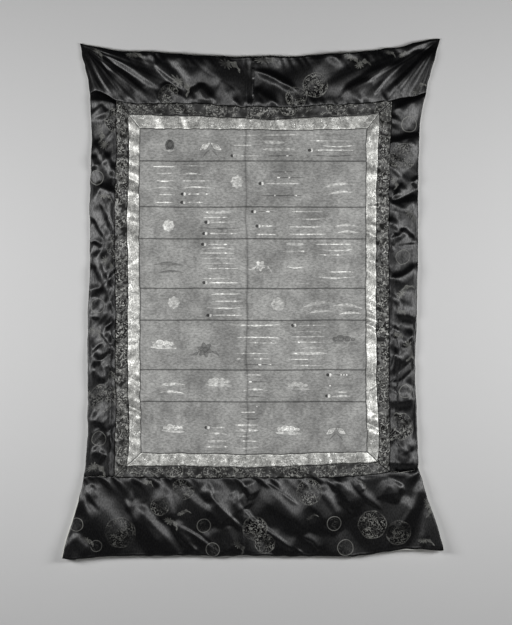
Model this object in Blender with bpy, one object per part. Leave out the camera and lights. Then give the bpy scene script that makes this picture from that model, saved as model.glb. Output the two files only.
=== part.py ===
"""A painted cloth in a brocade mount, hung by its two top corners.

Fourteen cut pieces of cloth: the painted ground, four strips of light brocade, four
strips of middle-toned brocade, four panels of dark satin, and the lining behind them.
Metres, +Z up, the front faces -Y. The origin is the middle of the top edge.
"""
import math
from collections import namedtuple

import bmesh
import bpy
import numpy as np

MM = 0.001

# Driving sizes, in millimetres.
FRONT_THICKNESS = 1.2
LINING_THICKNESS = 1.0
LINING_GAP = 0.7            # air between the front cloths and the lining
SEAM_GAP = 0.3              # air between two pieces that meet in a seam
BACK_PLANE = 9.0            # how far behind the origin the hanging's back plane lies
FOLD_FADE = 15.0            # a fold dies away over this distance from a seam
FOLD_END = 0.3              # share of a fold's length over which it rises from the cloth
CREST_SHIFT = 0.7           # a leaning fold's crest lies this many half widths off its curve
GENTLE_SHARE = 1.8          # and its gentle side is this much wider again than its steep one
HALF_WIDTH = 500.0          # from the middle of the hanging to its side
LINING_SHORT = 1.0          # the lining is cut this much smaller than the front
LINING_SHOWS = 2.0          # and reaches this far past it where its edge shows
LINING_SEAM_SIDE = 1150.0   # the lining's edge shows below this height, on the left
LINING_SEAM_FOOT = 330.0    # and under the foot from here to the right corner

# Lines that the pieces are cut and sewn along. Points are (across, down) in millimetres:
# across from the middle, down from the middle of the top edge. The first value is the
# number of straight cells that a smooth curve through the points is divided into.
LINES = {
    # the hemmed outside edge, clockwise from the top left corner
    "hem_top": (66, [(-469, -38), (-430, -30), (-349, -16), (-252, -11), (-106, -1), (0, 0),
                     (191, -5), (272, -11), (353, -22), (407, -30), (461, -43), (505, -51)]),
    "hem_right_top": (11, [(505, -51), (488, 14), (475, 57), (467, 96)]),
    "hem_right": (64, [(467, 96), (456, 143), (450, 186), (446, 305), (444, 532),
                       (442, 662), (437, 845), (441, 964), (444, 1061), (445, 1108)]),
    "hem_right_foot": (15, [(445, 1108), (452, 1131), (471, 1196), (491, 1250),
                            (506, 1299), (512, 1330)]),
    "hem_foot": (66, [(-514, 1351), (-484, 1353), (-430, 1350), (-360, 1345), (-133, 1345),
                      (191, 1347), (272, 1347), (329, 1340), (383, 1331), (437, 1327),
                      (512, 1330)]),
    "hem_left_foot": (15, [(-457, 1133), (-461, 1159), (-474, 1212), (-484, 1242),
                           (-503, 1303), (-514, 1351)]),
    "hem_left": (64, [(-441, 97), (-436, 197), (-441, 386), (-441, 575), (-446, 683),
                      (-446, 926), (-447, 1034), (-450, 1079), (-457, 1133)]),
    "hem_left_top": (11, [(-469, -38), (-462, -4), (-454, 23), (-446, 65), (-441, 97)]),
    # seams between the dark panels
    "seam_top_left": (5, [(-441, 97), (-427, 91), (-411, 94), (-392, 104), (-370, 116)]),
    "seam_top_right": (5, [(375, 117), (402, 112), (429, 107), (448, 100), (467, 96)]),
    "seam_foot_left": (5, [(-457, 1133), (-414, 1133), (-374, 1133)]),
    "seam_foot_right": (5, [(369, 1121), (407, 1120), (431, 1117), (445, 1108)]),
    # outer edge of the middle strips
    "middle_top": (28, [(-370, 116), (-338, 124), (-276, 126), (-184, 126), (-87, 130),
                        (-19, 136), (45, 135), (121, 134), (183, 130), (242, 129),
                        (321, 123), (375, 117)]),
    "middle_right": (32, [(375, 117), (370, 243), (367, 386), (367, 859), (369, 1007),
                          (369, 1121)]),
    "middle_foot": (28, [(-374, 1133), (-260, 1136), (-119, 1137), (18, 1135), (116, 1138),
                         (194, 1134), (267, 1131), (329, 1125), (369, 1121)]),
    "middle_left": (32, [(-370, 116), (-369, 224), (-373, 362), (-375, 483), (-372, 589),
                         (-372, 834), (-370, 969), (-373, 1045), (-374, 1133)]),
    # outer edge of the light strips
    "light_top": (28, [(-337, 154), (-276, 157), (-181, 159), (-46, 164), (45, 168),
                       (126, 164), (242, 160), (294, 157), (341, 152)]),
    "light_right": (32, [(341, 152), (337, 259), (333, 359), (333, 859), (338, 969),
                         (339, 1050), (336, 1094)]),
    "light_foot": (28, [(-341, 1104), (-208, 1104), (18, 1108), (191, 1100), (336, 1094)]),
    "light_left": (32, [(-337, 154), (-336, 313), (-342, 446), (-338, 543), (-339, 699),
                        (-338, 899), (-335, 1031), (-341, 1104)]),
    # edge of the painted ground
    "painting_top": (20, [(-306, 193), (-125, 195), (99, 197), (307, 194)]),
    "painting_right": (16, [(307, 194), (305, 292), (304, 521), (304, 818), (306, 969),
                            (307, 1066)]),
    "painting_foot": (20, [(-303, 1068), (-133, 1071), (18, 1073), (153, 1069), (307, 1066)]),
    "painting_left": (16, [(-306, 193), (-308, 410), (-306, 656), (-304, 926), (-303, 1068)]),
}

# How far the hanging stands forward of its back plane, at its middle and at its sides.
Stand = namedtuple("Stand", "down middle side")
STAND_OFF = [
    Stand(-55, 9, 3),
    Stand(0, 9, 4),
    Stand(160, 8, 7),
    Stand(500, 6, 6),
    Stand(900, 6, 8),
    Stand(1150, 9, 15),
    Stand(1355, 12, 23),
]

# Long soft waves that run down the whole hanging: place, half width and height.
Wave = namedtuple("Wave", "across lean half_width height start end")
WAVES = [
    Wave(-190, 20, 120, 3.0, 250, 1250),
    Wave(110, -30, 110, 3.5, 300, 1300),
    Wave(250, 25, 60, 2.0, 500, 1355),
    Wave(-400, 10, 50, 2.0, 600, 1355),
    Wave(-18, 4, 28, 2.0, 205, 1060),
]

# Folds: each is a soft ridge along a curve through three points (across, down), with a
# half width and a height. lean says which side is steep: 1 the right of the way the curve
# runs, -1 the left, 0 both. The curve is the middle of the steep side, or the crest where
# there is no lean. They fan out of the pinned corners at the top, slant over the side
# panels, and drop slantwise from the lower seam to the foot.
Fold = namedtuple("Fold", "x1 d1 x2 d2 x3 d3 half_width height lean")
TOP_FOLDS = [
    Fold(-422, 3, -358, 62, -306, 132, 9, 4, 1),
    Fold(-403, -3, -322, 43, -257, 94, 14, 8, 1),
    Fold(-276, 8, -252, 40, -192, 89, 9, 6, 1),
    Fold(-244, 3, -198, 40, -160, 84, 22, 8, 1),
    Fold(-176, 3, -127, 43, -36, 108, 22, 6.5, 1),
    Fold(-381, 14, -333, 54, -279, 111, 14, 6.5, -1),
    Fold(-249, 68, -219, 84, -181, 108, 11, 5, -1),
    Fold(-149, 62, -125, 92, -100, 113, 14, 6.5, -1),
    Fold(-10, 3, -9, 62, -9, 130, 12, 5, 0),
    Fold(8, 36, 64, 57, 116, 89, 11, 8, 0),
    Fold(5, 81, 35, 100, 70, 124, 14, 6.5, -1),
    Fold(143, 8, 186, 57, 218, 108, 38, 8, 1),
    Fold(234, 94, 267, 70, 321, 46, 19, 8, -1),
    Fold(294, 40, 342, 24, 396, 8, 16, 6.5, -1),
    Fold(391, 8, 348, 43, 278, 97, 11, 6, -1),
    Fold(483, -38, 437, -19, 402, 8, 14, 5, -1),
    Fold(496, -32, 445, 14, 359, 94, 15, 8, 1),
    Fold(483, -5, 450, 35, 391, 97, 14, 6.5, -1),
]
BOTTOM_FOLDS = [
    Fold(-454, 1161, -433, 1196, -403, 1237, 9, 5, 1),
    Fold(-411, 1180, -365, 1237, -316, 1293, 32, 6.5, -1),
    Fold(-349, 1196, -330, 1234, -308, 1282, 9, 6, 1),
    Fold(-308, 1223, -287, 1282, -246, 1339, 12, 8, 1),
    Fold(-314, 1196, -268, 1247, -187, 1339, 19, 10.5, -1),
    Fold(-230, 1250, -203, 1293, -165, 1339, 9, 5, 1),
    Fold(-244, 1158, -219, 1202, -198, 1256, 16, 5, -1),
    Fold(-198, 1148, -144, 1196, -76, 1250, 19, 6.5, -1),
    Fold(-144, 1212, -111, 1250, -84, 1285, 19, 8, 1),
    Fold(-114, 1148, -103, 1188, -22, 1269, 9, 6.5, -1),
    Fold(-122, 1174, -98, 1212, -55, 1250, 9, 5, 1),
    Fold(-41, 1169, -33, 1207, 24, 1264, 9, 6.5, -1),
    Fold(-63, 1196, -46, 1218, -36, 1234, 11, 5, 1),
    Fold(-30, 1148, -19, 1174, -9, 1196, 9, 6.5, 1),
    Fold(-79, 1242, -57, 1293, -33, 1339, 22, 6.5, -1),
    Fold(-478, 1277, -457, 1304, -427, 1336, 16, 5, -1),
    Fold(-36, 1228, 24, 1258, 126, 1336, 9, 6.5, -1),
    Fold(24, 1277, 78, 1315, 116, 1336, 11, 6.5, 1),
    Fold(40, 1153, 86, 1196, 159, 1277, 24, 8, -1),
    Fold(24, 1196, 59, 1231, 140, 1291, 16, 8, 1),
    Fold(175, 1148, 213, 1196, 248, 1264, 22, 10.5, -1),
    Fold(140, 1210, 175, 1239, 207, 1291, 16, 8, 1),
    Fold(194, 1148, 234, 1185, 267, 1237, 14, 8, 1),
    Fold(248, 1153, 261, 1183, 267, 1215, 14, 5, -1),
    Fold(353, 1137, 383, 1161, 391, 1191, 16, 5, -1),
    Fold(445, 1142, 429, 1196, 359, 1304, 14, 6.5, 1),
    Fold(450, 1204, 418, 1250, 396, 1304, 16, 6.5, -1),
    Fold(407, 1156, 396, 1174, 391, 1210, 11, 5, -1),
]
LEFT_FOLDS = [
    Fold(-408, 251, -392, 289, -370, 327, 11, 8, 0),
    Fold(-433, 232, -416, 270, -395, 305, 9, 5, 1),
    Fold(-435, 265, -427, 284, -419, 305, 11, 6.5, -1),
    Fold(-422, 340, -397, 351, -365, 364, 14, 8, -1),
    Fold(-416, 386, -400, 432, -376, 489, 9, 5, -1),
    Fold(-435, 429, -419, 462, -400, 494, 9, 5, -1),
    Fold(-438, 494, -422, 502, -406, 524, 9, 5, -1),
    Fold(-435, 554, -422, 583, -403, 629, 9, 5, -1),
    Fold(-424, 521, -406, 575, -381, 629, 9, 5, 1),
    Fold(-441, 645, -422, 645, -403, 653, 11, 6.5, -1),
    Fold(-403, 618, -392, 662, -368, 710, 14, 8, -1),
    Fold(-441, 702, -424, 707, -411, 707, 9, 5, 1),
    Fold(-406, 737, -389, 756, -368, 780, 14, 8, 1),
    Fold(-438, 799, -424, 810, -408, 824, 11, 6.5, 1),
    Fold(-443, 837, -424, 861, -403, 883, 14, 8, 1),
    Fold(-400, 837, -387, 845, -368, 845, 9, 5, 1),
    Fold(-443, 983, -414, 994, -395, 1018, 14, 8, 1),
    Fold(-403, 1013, -387, 1040, -368, 1075, 16, 8, 1),
    Fold(-441, 1066, -427, 1075, -411, 1077, 9, 5, 1),
    Fold(-438, 108, -406, 111, -368, 122, 9, 5, -1),
    Fold(-411, 119, -397, 138, -387, 162, 11, 5, -1),
]
RIGHT_FOLDS = [
    Fold(375, 140, 404, 127, 448, 108, 11, 6.5, -1),
    Fold(350, 235, 394, 221, 448, 208, 12, 9, -1),
    Fold(410, 224, 426, 227, 445, 243, 9, 5, -1),
    Fold(426, 338, 437, 329, 448, 321, 9, 5, -1),
    Fold(369, 394, 407, 386, 448, 378, 12, 9, -1),
    Fold(369, 483, 391, 478, 407, 459, 11, 8, -1),
    Fold(369, 589, 404, 583, 445, 554, 11, 8, -1),
    Fold(388, 702, 415, 705, 442, 713, 14, 9, 1),
    Fold(367, 748, 380, 753, 394, 753, 9, 5, 1),
    Fold(402, 786, 421, 770, 442, 748, 9, 6.5, 1),
    Fold(372, 861, 380, 826, 399, 796, 16, 8, 1),
    Fold(369, 942, 404, 942, 442, 934, 16, 10.5, 1),
    Fold(394, 1080, 421, 1066, 445, 1045, 9, 5, 1),
    Fold(369, 1102, 404, 1104, 445, 1104, 15, 9, 1),
]

# A piece's edges run left to right and top to bottom. rows and columns are its cells.
# hem_share is the share of a fold's height that is left at an open hem; at a seam
# nothing is left of it.
Panel = namedtuple("Panel", "name top foot left right columns rows folds hems")
PANELS = [
    Panel("mount_top", ["hem_top"], ["seam_top_left", "middle_top", "seam_top_right"],
          "hem_left_top", "hem_right_top", 66, 11, TOP_FOLDS, ("top", "left", "right")),
    Panel("mount_bottom", ["seam_foot_left", "middle_foot", "seam_foot_right"], ["hem_foot"],
          "hem_left_foot", "hem_right_foot", 66, 15, BOTTOM_FOLDS, ("foot", "left", "right")),
    Panel("mount_left", ["seam_top_left"], ["seam_foot_left"],
          "hem_left", "middle_left", 5, 64, LEFT_FOLDS, ("left",)),
    Panel("mount_right", ["seam_top_right"], ["seam_foot_right"],
          "middle_right", "hem_right", 5, 64, RIGHT_FOLDS, ("right",)),
]
HEM_SHARE = 0.45
LINING_COLUMNS = 18
LINING_ROWS = 24
LINING_EDGE_CELLS = 4       # straight cells of an outside edge to one cell of the lining

# Plain finishes: colour (linear grey) and roughness.
FINISHES = {
    "painted_cotton": (0.20, 0.9),
    "light_brocade": (0.62, 0.45),
    "middle_brocade": (0.13, 0.6),
    "dark_satin": (0.03, 0.4),
    "lining_cotton": (0.55, 0.95),
}


def smooth_step(value):
    """0 below 0, 1 above 1, and an easy slope between."""
    t = np.clip(value, 0.0, 1.0)
    return t * t * (3.0 - 2.0 * t)


def smooth_curve(points, cells):
    """Equal cells along a Catmull-Rom curve through the points."""
    knots = np.array(points, dtype=float)
    ends = np.vstack([2 * knots[0] - knots[1], knots, 2 * knots[-1] - knots[-2]])
    fine = []
    for before, start, stop, after in zip(ends[:-3], ends[1:-2], ends[2:-1], ends[3:]):
        span = np.linalg.norm(stop - start)
        into = (stop - before) / (span + np.linalg.norm(start - before)) * span
        out = (after - start) / (span + np.linalg.norm(after - stop)) * span
        for t in np.linspace(0.0, 1.0, 12, endpoint=False):
            fine.append((2 * t**3 - 3 * t**2 + 1) * start + (t**3 - 2 * t**2 + t) * into
                        + (3 * t**2 - 2 * t**3) * stop + (t**3 - t**2) * out)
    fine.append(knots[-1])
    return resample(np.array(fine), cells)


def resample(line, cells):
    """The same line with its points at equal steps along it."""
    steps = np.concatenate([[0.0], np.cumsum(np.linalg.norm(np.diff(line, axis=0), axis=1))])
    wanted = np.linspace(0.0, steps[-1], cells + 1)
    return np.column_stack([np.interp(wanted, steps, line[:, axis]) for axis in (0, 1)])


def divide(line, cells):
    """Each straight cell of a line divided evenly, so that the line itself is kept."""
    wanted = np.linspace(0.0, len(line) - 1, cells + 1)
    index = np.arange(len(line))
    return np.column_stack([np.interp(wanted, index, line[:, axis]) for axis in (0, 1)])


def named_line(name):
    cells, points = LINES[name]
    return smooth_curve(points, cells)


def joined_line(names, columns):
    """Named lines end to end; the longest one is divided to give the columns wanted."""
    lines = [named_line(name) for name in names]
    longest = max(range(len(lines)), key=lambda index: len(lines[index]))
    others = sum(len(line) - 1 for index, line in enumerate(lines) if index != longest)
    lines[longest] = divide(lines[longest], columns - others)
    return np.vstack([lines[0]] + [line[1:] for line in lines[1:]])


def coons_patch(top, foot, left, right):
    """Grid of points between four edges, shaped (rows + 1, columns + 1, 2)."""
    across = np.linspace(0.0, 1.0, len(top))[None, :, None]
    down = np.linspace(0.0, 1.0, len(left))[:, None, None]
    ruled = (1 - down) * top[None] + down * foot[None]
    ruled = ruled + (1 - across) * left[:, None] + across * right[:, None]
    corners = ((1 - across) * (1 - down) * top[0] + across * (1 - down) * top[-1]
               + (1 - across) * down * foot[0] + across * down * foot[-1])
    return ruled - corners


def inset_edges(grid, distance):
    """Move the grid's outer points inwards, so that each edge line moves by the distance."""
    rows, columns = grid.shape[:2]
    ring = ([(0, c) for c in range(columns)] + [(r, columns - 1) for r in range(1, rows)]
            + [(rows - 1, c) for c in range(columns - 2, -1, -1)]
            + [(r, 0) for r in range(rows - 2, 0, -1)])
    line = np.array([grid[place] for place in ring])
    run = np.roll(line, -1, axis=0) - line
    run /= np.linalg.norm(run, axis=1)[:, None]
    inward = np.column_stack([-run[:, 1], run[:, 0]])
    before = np.roll(inward, 1, axis=0)
    bend = 1.0 + np.sum(inward * before, axis=1)
    moved = line + distance * (inward + before) / bend[:, None]
    result = grid.copy()
    for place, point in zip(ring, moved):
        result[place] = point
    return result


def hang_forward(across, down):
    """How far the hanging stands forward of its back plane, without its folds."""
    heights = [row.down for row in STAND_OFF]
    middle = np.interp(down, heights, [row.middle for row in STAND_OFF])
    side = np.interp(down, heights, [row.side for row in STAND_OFF])
    share = np.abs(across / HALF_WIDTH) ** 2.2
    forward = middle + (side - middle) * share
    for wave in WAVES:
        along = (down - wave.start) / (wave.end - wave.start)
        offset = (across - wave.across - wave.lean * along) / wave.half_width
        rise = smooth_step(along / FOLD_END) * smooth_step((1.3 - along) / FOLD_END)
        forward = forward + wave.height * rise * np.exp(-offset**2)
    return forward


def fold_height(across, down, folds):
    """Height of the folds over the cloth; where two meet, the higher one leads."""
    total = np.zeros_like(across)
    for fold in folds:
        curve = smooth_curve([(fold.x1, fold.d1), (fold.x2, fold.d2), (fold.x3, fold.d3)], 16)
        nearest = np.full(across.shape, np.inf)
        along, side = np.zeros(across.shape), np.zeros(across.shape)
        for step, (start, stop) in enumerate(zip(curve[:-1], curve[1:])):
            run = stop - start
            x, d = across - start[0], down - start[1]
            part = np.clip((x * run[0] + d * run[1]) / run.dot(run), 0.0, 1.0)
            away = np.hypot(x - part * run[0], d - part * run[1])
            closer = away < nearest
            nearest = np.where(closer, away, nearest)
            side = np.where(closer, np.sign(run[0] * d - run[1] * x), side)
            along = np.where(closer, (step + part) / (len(curve) - 1), along)
        offset = nearest * side + CREST_SHIFT * fold.lean * fold.half_width
        gentle = fold.half_width * (1 + GENTLE_SHARE * abs(fold.lean))
        width = np.where(offset * fold.lean < 0, gentle, fold.half_width)
        rise = smooth_step((along + 0.1) / FOLD_END) * smooth_step((1.1 - along) / FOLD_END)
        ridge = fold.height * rise * np.exp(-(offset / width) ** 2)
        total = total + ridge**3
    return np.cbrt(total)


def seam_fade(grid, hems):
    """1 inside a piece, 0 along its seams, and a share along its open hems."""
    rows, columns = grid.shape[:2]
    fade = np.ones((rows, columns))
    sides = {"top": grid[:1], "foot": grid[-1:], "left": grid[:, :1], "right": grid[:, -1:]}
    for side, edge in sides.items():
        away = np.linalg.norm(grid - edge, axis=2)
        share = HEM_SHARE if side in hems else 0.0
        fade = np.minimum(fade, share + (1.0 - share) * smooth_step(away / FOLD_FADE))
    return fade


def finish(name):
    """The material of one kind of cloth, made once."""
    if name in bpy.data.materials:
        return bpy.data.materials[name]
    grey, roughness = FINISHES[name]
    material = bpy.data.materials.new(name)
    material.use_nodes = True
    shader = material.node_tree.nodes["Principled BSDF"]
    shader.inputs["Base Color"].default_value = (grey, grey, grey, 1.0)
    shader.inputs["Roughness"].default_value = roughness
    return material


def split_cells(mesh):
    """Split each four-sided cell along the diagonal that keeps more of the ridges."""
    for face in list(mesh.faces):
        a, b, c, d = face.verts
        first_is_forward = a.co.y + c.co.y < b.co.y + d.co.y
        pair = (a, c) if first_is_forward else (b, d)
        bmesh.utils.face_split(face, *pair)


def cloth_piece(name, grid, forward, thickness, material, collection):
    """One closed sheet of cloth: a grid in its hanging shape, drawn back to its thickness."""
    rows, columns = grid.shape[:2]
    mesh = bmesh.new()
    bmesh.ops.create_grid(mesh, x_segments=columns - 1, y_segments=rows - 1, size=1.0)
    for vert in mesh.verts:
        column = round((vert.co.x + 1.0) / 2.0 * (columns - 1))
        row = round((1.0 - vert.co.y) / 2.0 * (rows - 1))
        across, down = grid[row, column]
        stand = BACK_PLANE - forward[row, column]
        vert.co = (across * MM, stand * MM, -down * MM)
    split_cells(mesh)
    back = bmesh.ops.extrude_face_region(mesh, geom=mesh.faces[:])["geom"]
    back_verts = [item for item in back if isinstance(item, bmesh.types.BMVert)]
    bmesh.ops.translate(mesh, verts=back_verts, vec=(0.0, thickness * MM, 0.0))
    bmesh.ops.recalc_face_normals(mesh, faces=mesh.faces[:])
    data = bpy.data.meshes.new(name)
    mesh.to_mesh(data)
    mesh.free()
    data.materials.append(finish(material))
    data.shade_smooth()
    data.set_sharp_from_angle(angle=math.radians(50))
    cloth = bpy.data.objects.new(name, data)
    collection.objects.link(cloth)
    return cloth


def add_panels(collection):
    """The four panels of dark satin around the strips."""
    for panel in PANELS:
        grid = coons_patch(joined_line(panel.top, panel.columns),
                           joined_line(panel.foot, panel.columns),
                           divide(named_line(panel.left), panel.rows),
                           divide(named_line(panel.right), panel.rows))
        grid = inset_edges(grid, SEAM_GAP / 2)
        across, down = grid[..., 0], grid[..., 1]
        folds = fold_height(across, down, panel.folds) * seam_fade(grid, panel.hems)
        forward = hang_forward(across, down) + folds
        cloth_piece(panel.name, grid, forward, FRONT_THICKNESS, "dark_satin", collection)


def add_strips(collection, band, outer, inner, material):
    """Four strips with mitred ends between an outer and an inner ring of lines."""
    for side in ("top", "foot", "left", "right"):
        outside = named_line(outer + "_" + side)
        inside = divide(named_line(inner + "_" + side), len(outside) - 1)
        start = np.array([outside[0], inside[0]])
        stop = np.array([outside[-1], inside[-1]])
        if side == "foot":
            grid = coons_patch(inside, outside, start[::-1], stop[::-1])
        elif side == "top":
            grid = coons_patch(outside, inside, start, stop)
        elif side == "left":
            grid = coons_patch(start, stop, outside, inside)
        else:
            grid = coons_patch(start[::-1], stop[::-1], inside, outside)
        grid = inset_edges(grid, SEAM_GAP / 2)
        forward = hang_forward(grid[..., 0], grid[..., 1])
        name = band + "_strip_" + ("bottom" if side == "foot" else side)
        cloth_piece(name, grid, forward, FRONT_THICKNESS, material, collection)


def add_painting(collection):
    """The painted cotton ground in the middle."""
    grid = coons_patch(named_line("painting_top"), named_line("painting_foot"),
                       named_line("painting_left"), named_line("painting_right"))
    grid = inset_edges(grid, SEAM_GAP / 2)
    forward = hang_forward(grid[..., 0], grid[..., 1])
    cloth_piece("painting", grid, forward, FRONT_THICKNESS, "painted_cotton", collection)


def add_lining(collection):
    """The back cloth: a little smaller than the front, and longer where its edge shows."""
    sides = {
        "left": np.vstack([named_line("hem_left_top"), named_line("hem_left")[1:],
                           named_line("hem_left_foot")[1:]]),
        "right": np.vstack([named_line("hem_right_top"), named_line("hem_right")[1:],
                            named_line("hem_right_foot")[1:]]),
    }
    left = resample(sides["left"], LINING_ROWS * LINING_EDGE_CELLS)[::LINING_EDGE_CELLS]
    right = resample(sides["right"], LINING_ROWS * LINING_EDGE_CELLS)[::LINING_EDGE_CELLS]
    top = resample(named_line("hem_top"), LINING_COLUMNS)
    foot = resample(named_line("hem_foot"), LINING_COLUMNS)
    grid = inset_edges(coons_patch(top, foot, left, right), LINING_SHORT)
    past = LINING_SHORT + LINING_SHOWS
    shown_side = smooth_step((grid[:, 0, 1] - LINING_SEAM_SIDE) / 60.0)
    grid[:, 0, 0] -= past * shown_side
    shown_foot = smooth_step((grid[-1, :, 0] - LINING_SEAM_FOOT) / 60.0)
    grid[-1, :, 1] += past * shown_foot
    behind = FRONT_THICKNESS + LINING_GAP
    forward = hang_forward(grid[..., 0], grid[..., 1]) - behind
    cloth_piece("lining", grid, forward, LINING_THICKNESS, "lining_cotton", collection)


def main():
    for item in list(bpy.data.objects):
        bpy.data.objects.remove(item, do_unlink=True)
    collection = bpy.data.collections.new("thangka_scroll_painting")
    bpy.context.scene.collection.children.link(collection)
    add_painting(collection)
    add_strips(collection, "light", "light", "painting", "light_brocade")
    add_strips(collection, "middle", "middle", "light", "middle_brocade")
    add_panels(collection)
    add_lining(collection)


main()
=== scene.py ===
import math
from collections import namedtuple
from functools import partial

import bpy
import numpy as np
from bpy.props import FloatProperty, FloatVectorProperty, PointerProperty
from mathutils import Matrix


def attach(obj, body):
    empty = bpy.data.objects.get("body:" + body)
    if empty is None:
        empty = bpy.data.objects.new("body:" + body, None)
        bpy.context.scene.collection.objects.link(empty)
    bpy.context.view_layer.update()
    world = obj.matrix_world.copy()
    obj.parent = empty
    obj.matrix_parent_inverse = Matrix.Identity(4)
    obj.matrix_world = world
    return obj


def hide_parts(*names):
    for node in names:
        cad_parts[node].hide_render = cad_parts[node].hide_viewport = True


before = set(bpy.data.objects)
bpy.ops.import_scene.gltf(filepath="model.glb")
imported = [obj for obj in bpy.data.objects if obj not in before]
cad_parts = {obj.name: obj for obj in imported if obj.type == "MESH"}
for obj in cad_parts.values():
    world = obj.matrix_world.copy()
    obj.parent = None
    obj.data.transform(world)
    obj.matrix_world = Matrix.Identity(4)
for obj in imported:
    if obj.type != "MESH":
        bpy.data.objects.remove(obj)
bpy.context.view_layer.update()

bl_info = {
    "name": "Brocade-mounted hanging",
    "version": (1, 0, 0),
    "blender": (4, 5, 0),
    "location": "3D View > Sidebar > Hanging",
    "description": "Cloths, finishes and studio of a painted cloth in a brocade mount, hung by its corners",
    "category": "Object",
}

MM = 0.001
BACK_PLANE = 9.0        # mm from the origin to the hanging's back plane, as in the solids
HALF_WIDTH = 500.0      # mm from the middle of the hanging to its side
SIDE_BEND = 2.2         # power by which the hanging's depth changes towards its sides
WAVE_END = 0.3          # share of a long wave's length over which it rises, and sinks again past its end
FOLD_PAST = 0.1         # share of a fold's length by which it runs past both ends of its curve
FOLD_END = 0.4          # share of a fold's length over which each end rises
FOLD_LIFT = 1.3         # how much higher than its stated height a fold stands
FOLD_WANDER = 2.5       # mm by which the folds wander from their curves
GENTLE_SHARE = 1.8      # how much wider than the steep side the gentle side of a fold is
CREST_SHIFT = 0.7       # from the middle of the steep side to the crest, in half widths
NOISE_CELLS = 61        # cells before the random waves repeat
BLEND_INSIDE = 32       # mm inside the dark panels' seam where the strips' relief begins to give way
BLEND_WIDTH = 50        # mm over which it gives way
EDGE_STEPS = (0.0, 0.7, 1.5, 2.6)    # mm from an edge of a cloth to its first points
TURN_WIDTH = 1.6        # mm over which an edge turns back
MITRE_BLEND = 25        # mm over which a strip takes up the relief of the next one at its mitre
LINING_SHORT = 1.0      # mm by which the lining is cut smaller at its sides
LINING_SHOWS_BELOW = 1150    # mm down the left side where its edge begins to show
LINING_SHOWS_PAST = 330      # mm to the right where its edge begins to show at the foot

# Lines that the pieces are cut and sewn along: (across, down) in mm from the middle of the top edge.
LINES = {
    # the hemmed outside edge
    "hem_top": [(-469, -38), (-430, -30), (-349, -16), (-252, -11), (-106, -1), (0, 0), (191, -5),
                (272, -11), (353, -22), (407, -30), (461, -43), (505, -51)],
    "hem_right_top": [(505, -51), (488, 14), (475, 57), (467, 96)],
    "hem_right": [(467, 96), (456, 143), (450, 186), (446, 305), (444, 532), (442, 662), (437, 845),
                  (441, 964), (444, 1061), (445, 1108)],
    "hem_right_foot": [(445, 1108), (452, 1131), (471, 1196), (491, 1250), (506, 1299), (512, 1330)],
    "hem_foot": [(-514, 1351), (-484, 1353), (-430, 1350), (-360, 1345), (-133, 1345), (191, 1347),
                 (272, 1347), (329, 1340), (383, 1331), (437, 1327), (512, 1330)],
    "hem_left_foot": [(-457, 1133), (-461, 1159), (-474, 1212), (-484, 1242), (-503, 1303), (-514, 1351)],
    "hem_left": [(-441, 97), (-436, 197), (-441, 386), (-441, 575), (-446, 683), (-446, 926),
                 (-447, 1034), (-450, 1079), (-457, 1133)],
    "hem_left_top": [(-469, -38), (-462, -4), (-454, 23), (-446, 65), (-441, 97)],
    # seams between the dark panels
    "seam_top_left": [(-441, 97), (-427, 91), (-411, 94), (-392, 104), (-370, 116)],
    "seam_top_right": [(375, 117), (402, 112), (429, 107), (448, 100), (467, 96)],
    "seam_foot_left": [(-457, 1133), (-414, 1133), (-374, 1133)],
    "seam_foot_right": [(369, 1121), (407, 1120), (431, 1117), (445, 1108)],
    # outer edge of the middle strips
    "middle_top": [(-370, 116), (-338, 124), (-276, 126), (-184, 126), (-87, 130), (-19, 136), (45, 135),
                   (121, 134), (183, 130), (242, 129), (321, 123), (375, 117)],
    "middle_right": [(375, 117), (370, 243), (367, 386), (367, 859), (369, 1007), (369, 1121)],
    "middle_foot": [(-374, 1133), (-260, 1136), (-119, 1137), (18, 1135), (116, 1138), (194, 1134),
                    (267, 1131), (329, 1125), (369, 1121)],
    "middle_left": [(-370, 116), (-369, 224), (-373, 362), (-375, 483), (-372, 589), (-372, 834),
                    (-370, 969), (-373, 1045), (-374, 1133)],
    # outer edge of the light strips
    "light_top": [(-337, 154), (-276, 157), (-181, 159), (-46, 164), (45, 168), (126, 164), (242, 160),
                  (294, 157), (341, 152)],
    "light_right": [(341, 152), (337, 259), (333, 359), (333, 859), (338, 969), (339, 1050), (336, 1094)],
    "light_foot": [(-341, 1104), (-208, 1104), (18, 1108), (191, 1100), (336, 1094)],
    "light_left": [(-337, 154), (-336, 313), (-342, 446), (-338, 543), (-339, 699), (-338, 899),
                   (-335, 1031), (-341, 1104)],
    # edge of the painted ground
    "painting_top": [(-306, 193), (-125, 195), (99, 197), (307, 194)],
    "painting_right": [(307, 194), (305, 292), (304, 521), (304, 818), (306, 969), (307, 1066)],
    "painting_foot": [(-303, 1068), (-133, 1071), (18, 1073), (153, 1069), (307, 1066)],
    "painting_left": [(-306, 193), (-308, 410), (-306, 656), (-304, 926), (-303, 1068)],
}

# How far the hanging stands forward of its back plane, at its middle and at its sides, in mm.
Stand = namedtuple("Stand", "down middle side")
STAND_OFF = [
    Stand(-55, 9, 3), Stand(0, 9, 4), Stand(160, 8, 7), Stand(500, 6, 6),
    Stand(900, 6, 8), Stand(1150, 9, 15), Stand(1355, 12, 23),
]

# Long soft waves that run down the whole hanging.
Wave = namedtuple("Wave", "across lean half_width height start end")
WAVES = [
    Wave(-190, 20, 120, 3.0, 250, 1250),
    Wave(110, -30, 110, 3.5, 300, 1300),
    Wave(250, 25, 60, 2.0, 500, 1355),
    Wave(-400, 10, 50, 2.0, 600, 1355),
    Wave(-18, 4, 28, 2.0, 205, 1060),
]

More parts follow.
